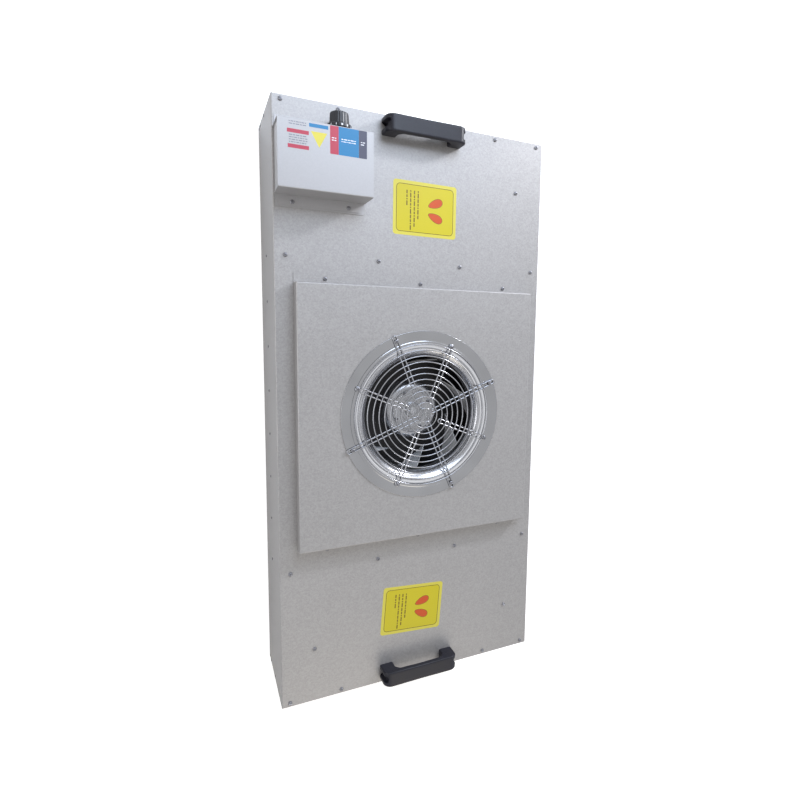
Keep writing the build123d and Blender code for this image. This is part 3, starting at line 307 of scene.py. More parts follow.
class Palette:
    """All finishes as materials, looked up by name, and the pieces that are made of them."""

    def __init__(self) -> None:
        """Build every material from the shared effects."""
        groups = build_effects()
        self.made = {finish.name: finish.material(groups) for finish in FINISHES}

    def dress(self, nodes: dict[str, bpy.types.Object], record: dict) -> None:
        """Give every node of the frame the finish of the material slot that the record names."""
        for part in record["subparts"]:
            for place in nodes[part["node"]].material_slots:
                place.material = self.made[part["material_slot"]]
        LOG.info("dressed %d nodes of the frame", len(record["subparts"]))

    def piece(
        self,
        name: str,
        sheets: Sequence["Sheet"],
        finish: str,
        slot: str = "",
        body: str = "casing",
        crease: float = 35.0,
    ) -> bpy.types.Object:
        """Make one object of several grids, close its poles, turn its faces outwards and place it.

        Args:
            name: Its name.
            sheets: Its grids, in millimetres, each a closed surface.
            finish: The name of its finish.
            slot: Its slot in the record, if it has one; not used.
            body: The body that it rides on.
            crease: Edges sharper than this many degrees stay sharp.

        Returns:
            The object, at the origin, with its place in its mesh.
        """
        counts = np.cumsum([0] + [sheet.points.shape[0] * sheet.points.shape[1] for sheet in sheets])
        points = np.concatenate([sheet.points.reshape(-1, 3) for sheet in sheets]) * MILLIMETRE
        faces = np.concatenate([sheet.faces(first) for sheet, first in zip(sheets, counts)])
        mesh = bpy.data.meshes.new(name)
        mesh.from_pydata(points, [], faces)
        work = bmesh.new()
        work.from_mesh(mesh)
        bmesh.ops.remove_doubles(work, verts=work.verts, dist=1e-7)
        bmesh.ops.dissolve_degenerate(work, edges=work.edges, dist=1e-8)
        bmesh.ops.recalc_face_normals(work, faces=work.faces)
        work.to_mesh(mesh)
        work.free()
        mesh.polygons.foreach_set("use_smooth", np.ones(len(mesh.polygons), bool))
        mesh.set_sharp_from_angle(angle=math.radians(crease))
        mesh.materials.append(self.made[finish])
        made = linked(name, mesh)
        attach(made, body)
        triangles = sum(len(face.vertices) - 2 for face in mesh.polygons)
        LOG.info("%s: %d triangles on %s", name, triangles, body)
        return made

    def stand_in(
        self, node: str, making: str, sheets: Sequence["Sheet"], slot: str, **ties: str | float
    ) -> None:
        """Make the piece that stands for a node of the frame, named after it and how it is made.

        Args:
            node: The node.
            making: How the piece is made.
            sheets: Its grids.
            slot: The node's slot, which is also its finish.
            ties: Its body and crease, as for a piece.
        """
        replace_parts(self.piece(f"{node}_{making}", sheets, slot, slot, **ties), node)


# ---- surfaces
@dataclass
class Sheet:
    """A grid of points, rows by columns by three, and whether its rows and columns close in a ring."""

    points: Array
    ring_rows: bool = False
    ring_columns: bool = True

    def faces(self, first: int) -> Array:
        """Join neighbours of the grid into four-sided faces.

        Args:
            first: The number of the grid's first point in the mesh.

        Returns:
            The faces, one row of four point numbers each.
        """
        rows, columns = self.points.shape[:2]
        last_row = rows if self.ring_rows else rows - 1
        last_column = columns if self.ring_columns else columns - 1
        row, column = np.meshgrid(np.arange(last_row), np.arange(last_column), indexing="ij")
        below, right = (row + 1) % rows, (column + 1) % columns
        corners = (row * columns + column, below * columns + column)
        corners += (below * columns + right, row * columns + right)
        return first + np.stack(corners, axis=-1).reshape(-1, 4)


def node_box(node: str) -> tuple[Array, Array]:
    """Lowest and highest corner of a node of the frame, in millimetres."""
    low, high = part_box(node)
    return np.array(low) / MILLIMETRE, np.array(high) / MILLIMETRE


def arc(center: Pair, radius: float, start: float, size: float, steps: int) -> Array:
    """Points of an arc: the centre plus the radius times the cosine and sine of equal angles.

    Args:
        center: Its centre.
        radius: Its radius.
        start: Its first angle, in degrees.
        size: The angle that it spans, in degrees.
        steps: How many chords it has.

    Returns:
        The points, one row of two coordinates each.
    """
    angle = np.radians(start + size * np.linspace(0.0, 1.0, steps + 1))
    return np.stack([center[0] + radius * np.cos(angle), center[1] + radius * np.sin(angle)], axis=1)


def full_turn(steps: int) -> Array:
    """Angles of equal steps round a full turn, in radians."""
    return np.linspace(0.0, 2 * np.pi, steps, endpoint=False)


def path(*stretches: Array | Pair) -> Array:
    """Join points and arcs into one outline of two coordinates."""
    return np.concatenate([np.atleast_2d(np.asarray(stretch, float)) for stretch in stretches])


def revolved(profile: Array, segments: int, ring_rows: bool = False) -> Sheet:
    """Turn a profile about Z: the point (r, z) at angle a lies at (r cos a, r sin a, z).

    Args:
        profile: Points (r, z), one a row.
        segments: Equal steps of the turn.
        ring_rows: Whether the profile closes on itself.

    Returns:
        The turned surface.
    """
    angle = full_turn(segments)
    across = np.outer(profile[:, 0], np.cos(angle))
    along = np.outer(profile[:, 0], np.sin(angle))
    height = np.repeat(profile[:, 1:2], segments, axis=1)
    return Sheet(np.stack([across, along, height], axis=-1), ring_rows)


def wire(route: Array, radius: float, sides: int) -> Sheet:
    """Sweep a round section along a closed level route.

    Each point of the section is the route's point plus the radius times cos b outwards and sin b up,
    where outwards is square to the route in its plane.

    Args:
        route: Points of the closed route, one row of three coordinates each.
        radius: The wire's radius.
        sides: Flats of its section.

    Returns:
        The wire's surface.
    """
    ahead = np.roll(route, -1, axis=0) - np.roll(route, 1, axis=0)
    ahead /= np.linalg.norm(ahead, axis=1, keepdims=True)
    up = np.array([0.0, 0.0, 1.0])
    outwards = np.cross(ahead, up)
    turn = full_turn(sides)
    section = np.cos(turn)[None, :, None] * outwards[:, None, :] + np.sin(turn)[None, :, None] * up
    return Sheet(route[:, None, :] + radius * section, ring_rows=True)


def rounded_outline(width: float, height: float, corner: float, steps: int = 6) -> Array:
    """Outline of a rounded rectangle: each corner's centre plus a quarter circle."""
    quarter = np.radians(np.linspace(0.0, 90.0, steps + 1))
    angle = (np.radians([0, 90, 180, 270])[:, None] + quarter).ravel()
    sign_x = np.repeat([1, -1, -1, 1], steps + 1)
    sign_y = np.repeat([1, 1, -1, -1], steps + 1)
    x = sign_x * (width / 2 - corner) + corner * np.cos(angle)
    y = sign_y * (height / 2 - corner) + corner * np.sin(angle)
    return np.stack([x, y], axis=1)


def laid(outline: Array, center: Pair, turn: float = 0.0) -> Array:
    """Turn an outline by some degrees about its origin and move it to a centre."""
    c, s = math.cos(math.radians(turn)), math.sin(math.radians(turn))
    return outline @ np.array([[c, s], [-s, c]]) + np.asarray(center, float)


def raised(outline: Array, height: float) -> Array:
    """Give an outline a height as its third coordinate."""
    return np.column_stack([outline, np.full(len(outline), height)])


def plate(outline: Array, base: float, thickness: float) -> Sheet:
    """Close a level plate: its middle, its outline below and above, and its middle again."""
    middle, top = np.broadcast_to(outline.mean(axis=0), outline.shape), base + thickness
    levels = ((middle, base), (outline, base), (outline, top), (middle, top))
    return Sheet(np.stack([raised(points, height) for points, height in levels]))


def band(outer: Array, inner: Array, base: float, thickness: float) -> Sheet:
    """Close a level ring between two outlines of as many points."""
    top = base + thickness
    levels = ((outer, base), (outer, top), (inner, top), (inner, base))
    return Sheet(np.stack([raised(points, height) for points, height in levels]), ring_rows=True)


def capped(grid: Array) -> Array:
    """Close both ends of a grid of rings with a ring's middle, repeated."""
    ends = grid[[0, -1]].mean(axis=1, keepdims=True).repeat(grid.shape[1], axis=1)
    return np.concatenate([ends[:1], grid, ends[1:]])


def node_points(node: str) -> Array:
    """Points of a node of the frame, in millimetres."""
    mesh = frame["nodes"][node].data
    points = np.empty(len(mesh.vertices) * 3, np.float32)
    mesh.vertices.foreach_get("co", points)
    return points.reshape(-1, 3).astype(float) / MILLIMETRE


def island_boxes(node: str, reach: float) -> list[tuple[Array, Array]]:
    """Find the separate solids of a node, each the points nearer than a reach to one of its points.

    Args:
        node: The node's name.
        reach: More than a solid's size and less than the gap to the next, in millimetres.

    Returns:
        The lowest and highest corner of each solid.
    """
    points, boxes = node_points(node), []
    while len(points):
        near = np.linalg.norm(points - points[0], axis=1) < reach
        boxes.append((points[near].min(axis=0), points[near].max(axis=0)))
        points = points[~near]
    return boxes


# ---- fasteners
class Head(Enum):
    """Head forms of the small fasteners."""

    CROSS = "pan head with a cross recess"
    BLIND = "blind rivet with a mandrel hole"


@dataclass(frozen=True)
class FastenerSet:
    """All fasteners of one node, with round heads in place of the frame's six-sided ones."""

    node: str
    body: str = "casing"
    slot: str = "zinc_fastener"
    head: Head = Head.CROSS
    head_radius: float = 4.0
    head_height: float = 2.4
    shank_radius: float = 2.1
    reach: float = 16.0
    segments: int = 24
    dome_steps: int = 10
    turn_step: float = 37.0
    recess_depth: float = 0.45
    recess_reach: float = 0.62
    recess_wall: float = 0.12
    arm_half: float = 0.17
    arm_wall: float = 0.06
    hole_reach: float = 0.36
    hole_wall: float = 0.08

    def shape(self, shank_length: float) -> Array:
        """Turned head and shank, seat at height 0.

        The dome is a superellipse of power 3. A cross recess sinks where x or y is under a share of the
        head's radius and the radius is under another one, a mandrel hole where the radius is small.

        Args:
            shank_length: How far the shank goes below the seat.

        Returns:
            The grid of points.
        """
        rise = np.radians(np.linspace(0.0, 90.0, self.dome_steps + 1))
        dome_radius = self.head_radius * np.sin(rise) ** (2 / 3)
        dome_height = self.head_height * np.cos(rise) ** (2 / 3)
        dome = np.stack([dome_radius, dome_height], axis=1)
        shank = path((self.shank_radius, 0), (self.shank_radius, -shank_length), (0, -shank_length))
        grid = revolved(path(dome, shank), self.segments).points
        share = np.hypot(grid[..., 0], grid[..., 1]) / self.head_radius
        if self.head is Head.CROSS:
            arm = np.minimum(abs(grid[..., 0]), abs(grid[..., 1])) / self.head_radius
            dip = np.clip((self.arm_half - arm) / self.arm_wall, 0, 1)
            dip *= np.clip((self.recess_reach - share) / self.recess_wall, 0, 1)
        else:
            dip = np.clip((self.hole_reach - share) / self.hole_wall, 0, 1)
        on_head = grid[..., 2] > 0.5 * self.head_height
        grid[..., 2] -= np.where(on_head, self.recess_depth * self.head_height * dip, 0.0)
        return grid

    def build(self, palette: Palette) -> None:
        """Set one fastener on each solid of the node: screws stand up, each turned more, rivets point out."""
        sheets = []
        for number, (low, high) in enumerate(island_boxes(self.node, self.reach)):
            middle = (low + high) / 2
            if self.head is Head.CROSS:
                grid = self.shape(high[2] - low[2] - self.head_height)
                flat = laid(grid[..., :2].reshape(-1, 2), (0, 0), self.turn_step * number)
                grid = np.concatenate([flat.reshape(*grid.shape[:2], 2), grid[..., 2:]], axis=-1)
                seat = [middle[0], middle[1], high[2] - self.head_height]
            else:
                grid = self.shape(high[0] - low[0] - self.head_height)
                side = 1.0 if middle[0] > 0 else -1.0
                outer = high[0] if side > 0 else low[0]
                grid = np.stack([side * grid[..., 2], grid[..., 0], grid[..., 1]], axis=-1)
                seat = [outer - side * self.head_height, *middle[1:]]
            sheets.append(Sheet(grid + seat))
        palette.stand_in(self.node, "round", sheets, self.slot, body=self.body)


# ---- inlet
@dataclass(frozen=True)
class InletNozzle:
    """Bell mouth spun from sheet: flat flange, a shallow groove, a quarter-round entry, a short throat."""

    throat_radius: float = 119.5
    curve: float = 27.0
    sheet: float = 1.2
    groove_half: float = 2.2
    groove_depth: float = 0.7
    segments: int = 192
    entry_steps: int = 28
    back_steps: int = 16
    line_steps: int = 8

    def build(self, palette: Palette) -> None:
        """Turn the section: flange, groove, entry and throat on the air side, and back along the far side."""
        low, high = node_box("inlet_nozzle")
        flange_radius, face, end = high[0], high[2], low[2]
        center = (self.throat_radius + self.curve, face - self.curve)
        groove = center[0] + 3 * self.groove_half
        across = np.linspace(groove + self.groove_half, groove - self.groove_half, self.line_steps + 1)
        dip = self.groove_depth * np.cos((across - groove) / self.groove_half * np.pi / 2) ** 2
        edge = self.sheet / 2
        profile = path(
            arc((flange_radius - edge, face - edge), edge, -90, 180, self.line_steps),
            np.stack([across, face - dip], axis=1),
            arc(center, self.curve, 90, 90, self.entry_steps),
            np.linspace((self.throat_radius, center[1]), (self.throat_radius, end), self.line_steps),
            (self.throat_radius + self.sheet, end),
            arc(center, self.curve - self.sheet, 180, -90, self.back_steps),
        )
        nozzle = revolved(profile, self.segments, ring_rows=True)
        palette.stand_in("inlet_nozzle", "spun", [nozzle], "spun_steel", crease=50.0)


@dataclass(frozen=True)
class WireGuard:
    """Finger guard of round wire: hairpin legs on the flange and welded rings on top of them."""

    ring_wire: float = 1.2
    leg_wire: float = 1.6
    wire_sides: int = 10
    ring_count: int = 12
    ring_first: float = 14.5
    ring_last: float = 146.0
    ring_steps: int = 128
    leg_count: int = 8
    leg_first_angle: float = 22.5
    leg_half_gap: float = 4.2
    leg_steps: int = 12
    short_leg_start: float = 32.0
    short_leg_reach: float = 157.5
    long_leg_reach: float = 176.0

    def ring(self, radius: float, height: float) -> Sheet:
        """One round ring, by its radius and the middle of its wire."""
        circle = arc((0, 0), radius, 0, 360, self.ring_steps)[:-1]
        return wire(raised(circle, height), self.ring_wire, self.wire_sides)

    def leg(self, start: float, reach: float, angle: float, height: float) -> Sheet:
        """One hairpin: two straight runs joined by half circles, turned to its angle.

        Args:
            start: Where its wire begins, from the axis.
            reach: Where it ends.
            angle: Its direction, in degrees.
            height: Middle of its wire.

        Returns:
            The closed wire.
        """
        bend = self.leg_half_gap
        near, far = start + self.leg_wire + bend, reach - self.leg_wire - bend
        outline = path(
            np.linspace((near, -bend), (far, -bend), self.leg_steps)[:-1],
            arc((far, 0), bend, -90, 180, self.leg_steps),
            np.linspace((far, bend), (near, bend), self.leg_steps)[1:-1],
            arc((near, 0), bend, 90, 180, self.leg_steps)[:-1],
        )
        return wire(raised(laid(outline, (0, 0), angle), height), self.leg_wire, self.wire_sides)

    def build(self, palette: Palette) -> None:
        """Lay the legs on the flange, every other one short, and the rings on the legs."""
        low, high = node_box("wire_guard")
        radii = np.linspace(self.ring_first, self.ring_last, self.ring_count)
        sheets = [self.ring(radius, high[2] - self.ring_wire) for radius in radii]
        for number in range(self.leg_count):
            start = self.short_leg_start if number % 2 else self.ring_first
            reach = self.short_leg_reach if number % 2 else self.long_leg_reach
            angle = self.leg_first_angle + 360.0 / self.leg_count * number
            sheets.append(self.leg(start, reach, angle, low[2] + self.leg_wire))
        palette.stand_in("wire_guard", "round", sheets, "guard_wire", crease=60.0)


# ---- impeller
@dataclass(frozen=True)
class Impeller:
    """External rotor with its shoulder, groove and hub, the spun shroud and the curved blades."""

    rotor_radius: float = 62.0
    step_radius: float = 66.0
    step_height: float = 114.6
    rotor_base: float = 97.0
    rotor_front: float = 160.0
    shoulder: float = 13.0
    groove_radius: float = 46.5
    groove_width: float = 4.0
    groove_depth: float = 2.0
    dish_radius: float = 30.0
    dish_depth: float = 0.8
    dish_slope: float = 4.0
    hub_radius: float = 16.5
    hub_fillet: float = 2.0
    hub_apron: float = 1.0
    hub_edge: float = 1.2
    bore_radius: float = 6.03
    inner_radius: float = 50.0
    inner_top: float = 151.0
    impeller_radius: float = 165.0
    shroud_radius: float = 124.0
    shroud_curve: float = 10.0
    shroud_sheet: float = 1.5
    shroud_lip: float = 6.0
    shroud_slope: float = 20.0
    blade_count: int = 7
    blade_first_angle: float = -12.0
    blade_radii: Triple = (99.0, 128.0, 163.4)
    blade_leans: Triple = (0.0, 30.0, 52.0)
    blade_sheet: float = 1.6
    blade_gap: float = 0.2
    blade_stations: int = 25
    blade_levels: int = 7
    segments: int = 144

    def rotor(self) -> Sheet:
        """Turn the can: shoulder, grooved and slightly dished front, hub, bore and inner wall."""
        crown = (self.rotor_radius - self.shoulder, self.rotor_front - self.shoulder)
        half = self.groove_width / 2
        floor = self.rotor_front - self.groove_depth
        dish = self.rotor_front - self.dish_depth
        hub_top = node_box("rotor_can")[1][2]
        fillet = self.hub_radius + self.hub_fillet
        profile = path(
            (self.step_radius, self.rotor_base),
            (self.step_radius, self.step_height),
            (self.rotor_radius, self.step_height),
            arc(crown, self.shoulder, 0, 90, steps=14),
            (self.groove_radius + half, self.rotor_front),
            (self.groove_radius + half / 2, floor),
            (self.groove_radius - half / 2, floor),
            (self.groove_radius - half, self.rotor_front),
            (self.dish_radius + self.dish_slope, self.rotor_front),
            (self.dish_radius, dish),
            (fillet + self.hub_apron, dish),
            arc((fillet, dish + self.hub_fillet), self.hub_fillet, 270, -90, steps=4),
            arc((self.hub_radius - self.hub_edge, hub_top - self.hub_edge), self.hub_edge, 0, 90, steps=4),
            (self.bore_radius, hub_top),
            (self.bore_radius, self.inner_top),
            (self.inner_radius, self.inner_top),
            (self.inner_radius, self.rotor_base),
        )
        return revolved(profile, self.segments, ring_rows=True)

    def shroud_line(self, curve: float, top: float) -> Array:
        """One face of the shroud from its lip to its rim.

        Args:
            curve: Distance of the face from the centre of its curve.
            top: Height of the lip.

        Returns:
            Points (r, z).
        """
        center = (self.shroud_radius + self.shroud_curve, top - self.shroud_lip)
        turn = arc(center, curve, 180, 90 - self.shroud_slope, steps=10)
        drop = (self.impeller_radius - turn[-1, 0]) * math.tan(math.radians(self.shroud_slope))
        return path((center[0] - curve, top), turn, (self.impeller_radius, turn[-1, 1] - drop))

    def blade(self, number: int, base: float, top: float) -> Sheet:
        """One blade: its plan is the circle through root, middle and tip, its top follows the shroud.

        Args:
            number: Which blade.
            base: Height of its lower edge.
            top: Height of the shroud's lip.

        Returns:
            The closed blade.
        """
        angle = self.blade_first_angle + 360.0 / self.blade_count * number
        turn = np.radians(angle - np.array(self.blade_leans))
        points = np.array(self.blade_radii)[:, None] * np.stack([np.cos(turn), np.sin(turn)], axis=1)
        # the centre is as far from all three points: two linear equations
        sides = 2 * (points[1:] - points[0])
        center = np.linalg.solve(sides, (points[1:] ** 2).sum(axis=1) - (points[0] ** 2).sum())
        spokes = points - center
        bearing = np.unwrap(np.arctan2(spokes[:, 1], spokes[:, 0]))
        sweep = np.linspace(bearing[0], bearing[-1], self.blade_stations)
        radius = float(np.linalg.norm(spokes[0]))
        out = np.stack([np.cos(sweep), np.sin(sweep)], axis=1)
        roof = self.shroud_line(self.shroud_curve + self.blade_gap, top)[1:]
        edge = path((self.blade_radii[0] - self.blade_sheet, base), roof)
        reach = np.linalg.norm(center + radius * out, axis=1)
        rise = np.interp(reach, edge[:, 0], edge[:, 1]) - base
        height = base + np.outer(rise, np.linspace(0.0, 1.0, self.blade_levels))
        faces = []
        for side in (self.blade_sheet / 2, -self.blade_sheet / 2):
            plan = center + (radius + side) * out
            flat = np.repeat(plan[:, None, :], self.blade_levels, axis=1)
            faces.append(np.concatenate([flat, height[..., None]], axis=-1))
        loop = np.concatenate([faces[0], faces[1][:, ::-1]], axis=1)
        return Sheet(capped(loop))

    def build(self, palette: Palette) -> None:
        """Make the turning pieces round their places in the frame."""
        top = node_box("impeller_shroud")[1][2]
        base = node_box("impeller_blades")[0][2]
        under = self.shroud_line(self.shroud_curve, top)
        over = self.shroud_line(self.shroud_curve - self.shroud_sheet, top)
        shroud = revolved(path(under, over[::-1]), self.segments, ring_rows=True)
        blades = [self.blade(number, base, top) for number in range(self.blade_count)]
        for node, making, sheets, slot in (
            ("rotor_can", "turned", [self.rotor()], "rotor_silver"),
            ("impeller_shroud", "spun", [shroud], "impeller_black"),
            ("impeller_blades", "bent", blades, "blade_aluminium"),
        ):
            palette.stand_in(node, making, sheets, slot, body="impeller", crease=40.0)


# ---- control box
@dataclass(frozen=True)
class DashRow:
    """Uneven dashes in place of words: the shortest one plus up to three steps, and a gap after each."""

    shortest: float
    step: float
    gap: float
    row_stride: int
    dash_stride: int

    def runs(self, row: int, reach: float) -> list[Pair]:
        """Start and length of each dash of a row that starts before a reach."""
        made, place = [], 0.0
        while place < reach:
            steps = (self.row_stride * row + self.dash_stride * len(made)) % 4
            made.append((place, self.shortest + self.step * steps))
            place += made[-1][1] + self.gap
        return made


@dataclass(frozen=True)
class ControlPrint:
    """Fields of colour on the control box cover, in place of its printed plate."""

    slot: str = "control_box_sheet"
    film: float = 0.06
    wall_band: float = 5.0
    wedge_half_width: float = 14.0
    wedge_half_height: float = 13.0
    wedge_place: Pair = (70.0, 30.0)
    corner: float = 0.6
    # name, finish, left, right, down and up of each field, from the cover's corner at low X and high Y
    fields: tuple[tuple[str, str, float, float, float, float], ...] = (
        ("red_bar_upper", "print_red", 16.0, 52.5, 24.5, 18.0),
        ("red_bar_lower", "print_red", 17.0, 52.5, 49.5, 43.0),
        ("blue_bar", "print_blue", 53.0, 86.0, 10.2, 4.0),
        ("red_field", "print_red", 89.0, 103.9, 49.5, 1.6),
        ("blue_field", "print_blue", 104.0, 140.4, 49.5, 1.6),
        ("slate_field", "print_slate", 140.5, 155.3, 49.5, 1.6),
    )
    # finish, left, upper row, width and number of rows of each group of dashes
    dash_groups: tuple[tuple[str, float, float, float, int], ...] = (
        ("print_grey", 19.0, 6.0, 31.0, 2),
        ("print_grey", 19.0, 28.0, 31.0, 4),
        ("print_pale", 92.0, 22.0, 8.0, 2),
        ("print_pale", 109.0, 22.0, 26.0, 2),
        ("print_pale", 144.0, 22.0, 8.0, 2),
    )
    dash_row: DashRow = DashRow(2.0, 1.3, 1.2, 3, 2)
    dash_pitch: float = 3.9
    dash_least: float = 1.5
    dash_height: float = 1.5
    dash_corner: float = 0.3

    def build(self, palette: Palette) -> None:
        """Lay every field, the wedge and rows of dashes a film's thickness over the cover."""
        low, high = node_box("control_box_cover")
        points, top = node_points("control_box_cover"), high[2]
        # the outer face of the knob wall is the widest Y of the cover near its top
        wall = points[points[:, 2] > points[:, 2].max() - self.wall_band, 1].max()
        origin = np.array([low[0], wall])
        for name, finish, left, right, down, up in self.fields:
            center = (origin[0] + (left + right) / 2, origin[1] - (down + up) / 2)
            outline = laid(rounded_outline(right - left, down - up, self.corner, steps=3), center)
            palette.piece(f"print_{name}", [plate(outline, top, self.film)], finish, self.slot)
        x, y = origin + [self.wedge_place[0], -self.wedge_place[1]]
        wide, tall = self.wedge_half_width, self.wedge_half_height
        wedge = np.array([[x - wide, y + tall], [x, y - tall], [x + wide, y + tall]])
        palette.piece("print_wedge", [plate(wedge, top, self.film)], "print_yellow", self.slot)
        for finish in ("print_grey", "print_pale"):
            dashes = []
            for group, (name, left, up, width, rows) in enumerate(self.dash_groups):
                for row in range(rows if name == finish else 0):
                    start = origin + [left, -up - self.dash_pitch * row]
                    dashes += self.dashes(start, width, top + self.film, group + row)
            palette.piece(f"{finish}_dashes", dashes, finish, self.slot)

    def dashes(self, start: Array, width: float, base: float, row: int) -> list[Sheet]:
        """A row of short bars of uneven lengths that fills a width.

        Args:
            start: Its upper left corner.
            width: The width to fill.
            base: The height that it lies on.
            row: Which of the uneven rows it is.

        Returns:
            One plate for each bar.
        """
        made = []
        for place, length in self.dash_row.runs(row, width - self.dash_least):
            length = min(length, width - place)
            outline = rounded_outline(length, self.dash_height, self.dash_corner, steps=2)
            made.append(plate(laid(outline, (start[0] + place + length / 2, start[1])), base, self.film))
        return made


@dataclass(frozen=True)
class SpeedKnob:
    """Moulded knob: a marked skirt and a fluted grip, turned about Y."""

    skirt_length: float = 7.0
    skirt_edge: float = 1.6
    seat_edge: float = 0.6
    grip_radius: float = 18.0
    grip_end_radius: float = 16.8
    grip_steps: int = 10
    end_edge: float = 2.4
    dish: float = 0.8
    dish_edge: float = 4.0
    flutes: int = 24
    flute_depth: float = 0.45
    segments: int = 192
    mark_count: int = 11
    mark_step: float = 27.0
    mark_across: float = 1.3
    middle_mark: float = 2.4
    mark_base: float = 1.2
    mark_width: float = 3.4
    mark_proud: float = 0.05
    mark_sunk: float = 0.3

    def build(self, palette: Palette) -> None:
        """Make the body, where the grip's radius dips with the cosine of the flutes, and its marks."""
        low, high = node_box("speed_knob")
        x, z, base, length = (low[0] + high[0]) / 2, (low[2] + high[2]) / 2, low[1], high[1] - low[1]

        def standing(grid: Array) -> Sheet:
            """Turn a grid made about Z so that it stands along Y on its base."""
            return Sheet(np.stack([x + grid[..., 0], base + grid[..., 2], z + grid[..., 1]], axis=-1))

        skirt = (high[0] - low[0]) / 2
        skirt_crown = (skirt - self.skirt_edge, self.skirt_length - self.skirt_edge)
        end_crown = (self.grip_end_radius - self.end_edge, length - self.end_edge)
        foot = path(
            (0.0, 0.0),
            (skirt - self.seat_edge, 0.0),
            (skirt, self.seat_edge),
            (skirt, skirt_crown[1]),
            arc(skirt_crown, self.skirt_edge, 0, 90, steps=5),
        )
        grip_start, grip_end = (self.grip_radius, self.skirt_length), (self.grip_end_radius, end_crown[1])
        grip = path(
            np.linspace(grip_start, grip_end, self.grip_steps),
            arc(end_crown, self.end_edge, 0, 90, steps=6),
        )
        end = length - self.dish
        profile = path(foot, grip, (self.grip_end_radius - self.dish_edge, end), (0.0, end))
        on_grip = np.repeat([0.0, 1.0, 0.0], [len(foot), len(grip), 2])
        dip = self.flute_depth / 2 * (1 + np.cos(self.flutes * full_turn(self.segments)))
        shrink = 1 - np.outer(on_grip, dip) / np.maximum(profile[:, :1], 1.0)
        grid = revolved(profile, self.segments).points
        grid[..., :2] *= shrink[..., None]
        ties = {"body": "speed_knob", "crease": 30.0}
        palette.stand_in("speed_knob", "moulded", [standing(grid)], "knob_plastic", **ties)
        marks = []
        for number in range(self.mark_count):
            middle = 90.0 + self.mark_step * (number - (self.mark_count - 1) / 2)
            wider = self.middle_mark if number == self.mark_count // 2 else 1.0
            span = math.degrees(self.mark_across / skirt) * wider
            outline = path(
                arc((0, 0), skirt + self.mark_proud, middle - span / 2, span, steps=3),
                arc((0, 0), skirt - self.mark_sunk, middle + span / 2, -span, steps=3),
            )
            marks.append(standing(plate(outline, self.mark_base, self.mark_width).points))
        palette.piece("speed_knob_marks", marks, "print_pale", "knob_plastic", "speed_knob")


# ---- handles and stickers
@dataclass(frozen=True)
class BridgeHandle:
    """Moulded bridge handle: a section between an inner and an outer line, grooved at both ends."""

    node: str
    reach: float = 84.0
    opening: float = 55.0
    bar: float = 12.0
    corner: float = 16.0
    bevel: float = 9.0
    edge: float = 3.2
    groove_half_width: float = 6.5
    groove_depth: float = 8.0
    groove_wall: float = 2.0
    groove_slope: float = 1.6
    leg_steps: int = 7
    bend_steps: int = 12
    edge_steps: int = 6
    face_steps: int = 25
    face_reach: float = 0.9

    def lines(self, seat: float, top: float) -> tuple[Array, Array]:
        """Outer and inner line of the bridge, half of each mirrored.

        Args:
            seat: Height of its feet.
            top: Height of its bar's top.

        Returns:
            Points (x, z) of both, as many in each.
        """
        steps, bend, roof, shoulder = self.leg_steps, self.bend_steps, top - self.bar, top - self.corner
        outer_bend, inner_bend = self.corner - self.reach, self.bevel - self.opening
        outer = path(
            np.linspace((-self.reach, seat), (-self.reach, shoulder), steps),
            arc((outer_bend, shoulder), self.corner, 180, -90, bend)[1:],
            np.linspace((outer_bend, top), (0, top), steps + 1)[1:],
        )
        inner = path(
            np.linspace((-self.opening, seat), (-self.opening, roof - self.bevel), steps),
            np.linspace((-self.opening, roof - self.bevel), (inner_bend, roof), bend + 1)[1:],
            np.linspace((inner_bend, roof), (0, roof), steps + 1)[1:],
        )
        return path(outer, outer[-2::-1] * [-1, 1]), path(inner, inner[-2::-1] * [-1, 1])

    def build(self, palette: Palette) -> None:
        """Carry the rounded section along the bridge.

        At each station the section spans from the inner to the outer line and over the handle's width.
        Its outer face sinks in the middle of the width along both legs, where the end grooves are.
        """
        low, high = node_box(self.node)
        outer, inner = self.lines(low[2], high[2])
        across = outer - inner
        thickness = np.linalg.norm(across, axis=1, keepdims=True)
        across /= thickness
        # one loop of the section: an edge, the outer face with extra points, and the other three edges
        quarter = np.radians(np.linspace(0, 90, self.edge_steps))
        rise, fall, edge = np.sin(quarter), np.cos(quarter), np.ones(self.edge_steps)
        face, flat = np.ones(self.face_steps), np.linspace(self.face_reach, -self.face_reach, self.face_steps)
        far = np.concatenate([edge, face, edge, -edge, -edge])
        wide = np.concatenate([edge, flat, -edge, -edge, edge])
        bulge_far = np.concatenate([rise, face, fall, -rise, -fall])
        bulge_wide = np.concatenate([fall, 0 * face, -rise, -fall, rise])
        offset = far * (thickness / 2 - self.edge) + self.edge * bulge_far
        beside = wide * ((high[1] - low[1]) / 2 - self.edge) + self.edge * bulge_wide
        to_wall = self.groove_half_width + self.groove_wall / 2 - abs(beside)
        sink = np.clip(to_wall / self.groove_wall, 0, 1) * (far > 0)
        from_end = abs(outer[:, 0]) - (self.reach - self.groove_depth)
        end_share = np.clip(from_end / self.groove_depth, 0, 1)
        offset = offset - np.outer(self.groove_depth * np.minimum(1.0, self.groove_slope * end_share), sink)
        center = (outer + inner) / 2
        x = center[:, :1] + across[:, :1] * offset
        z = center[:, 1:] + across[:, 1:] * offset
        y = np.broadcast_to((low[1] + high[1]) / 2 + beside, x.shape)
        handle = Sheet(capped(np.stack([x, y, z], axis=-1)))
        palette.stand_in(self.node, "moulded", [handle], "handle_plastic", crease=40.0)


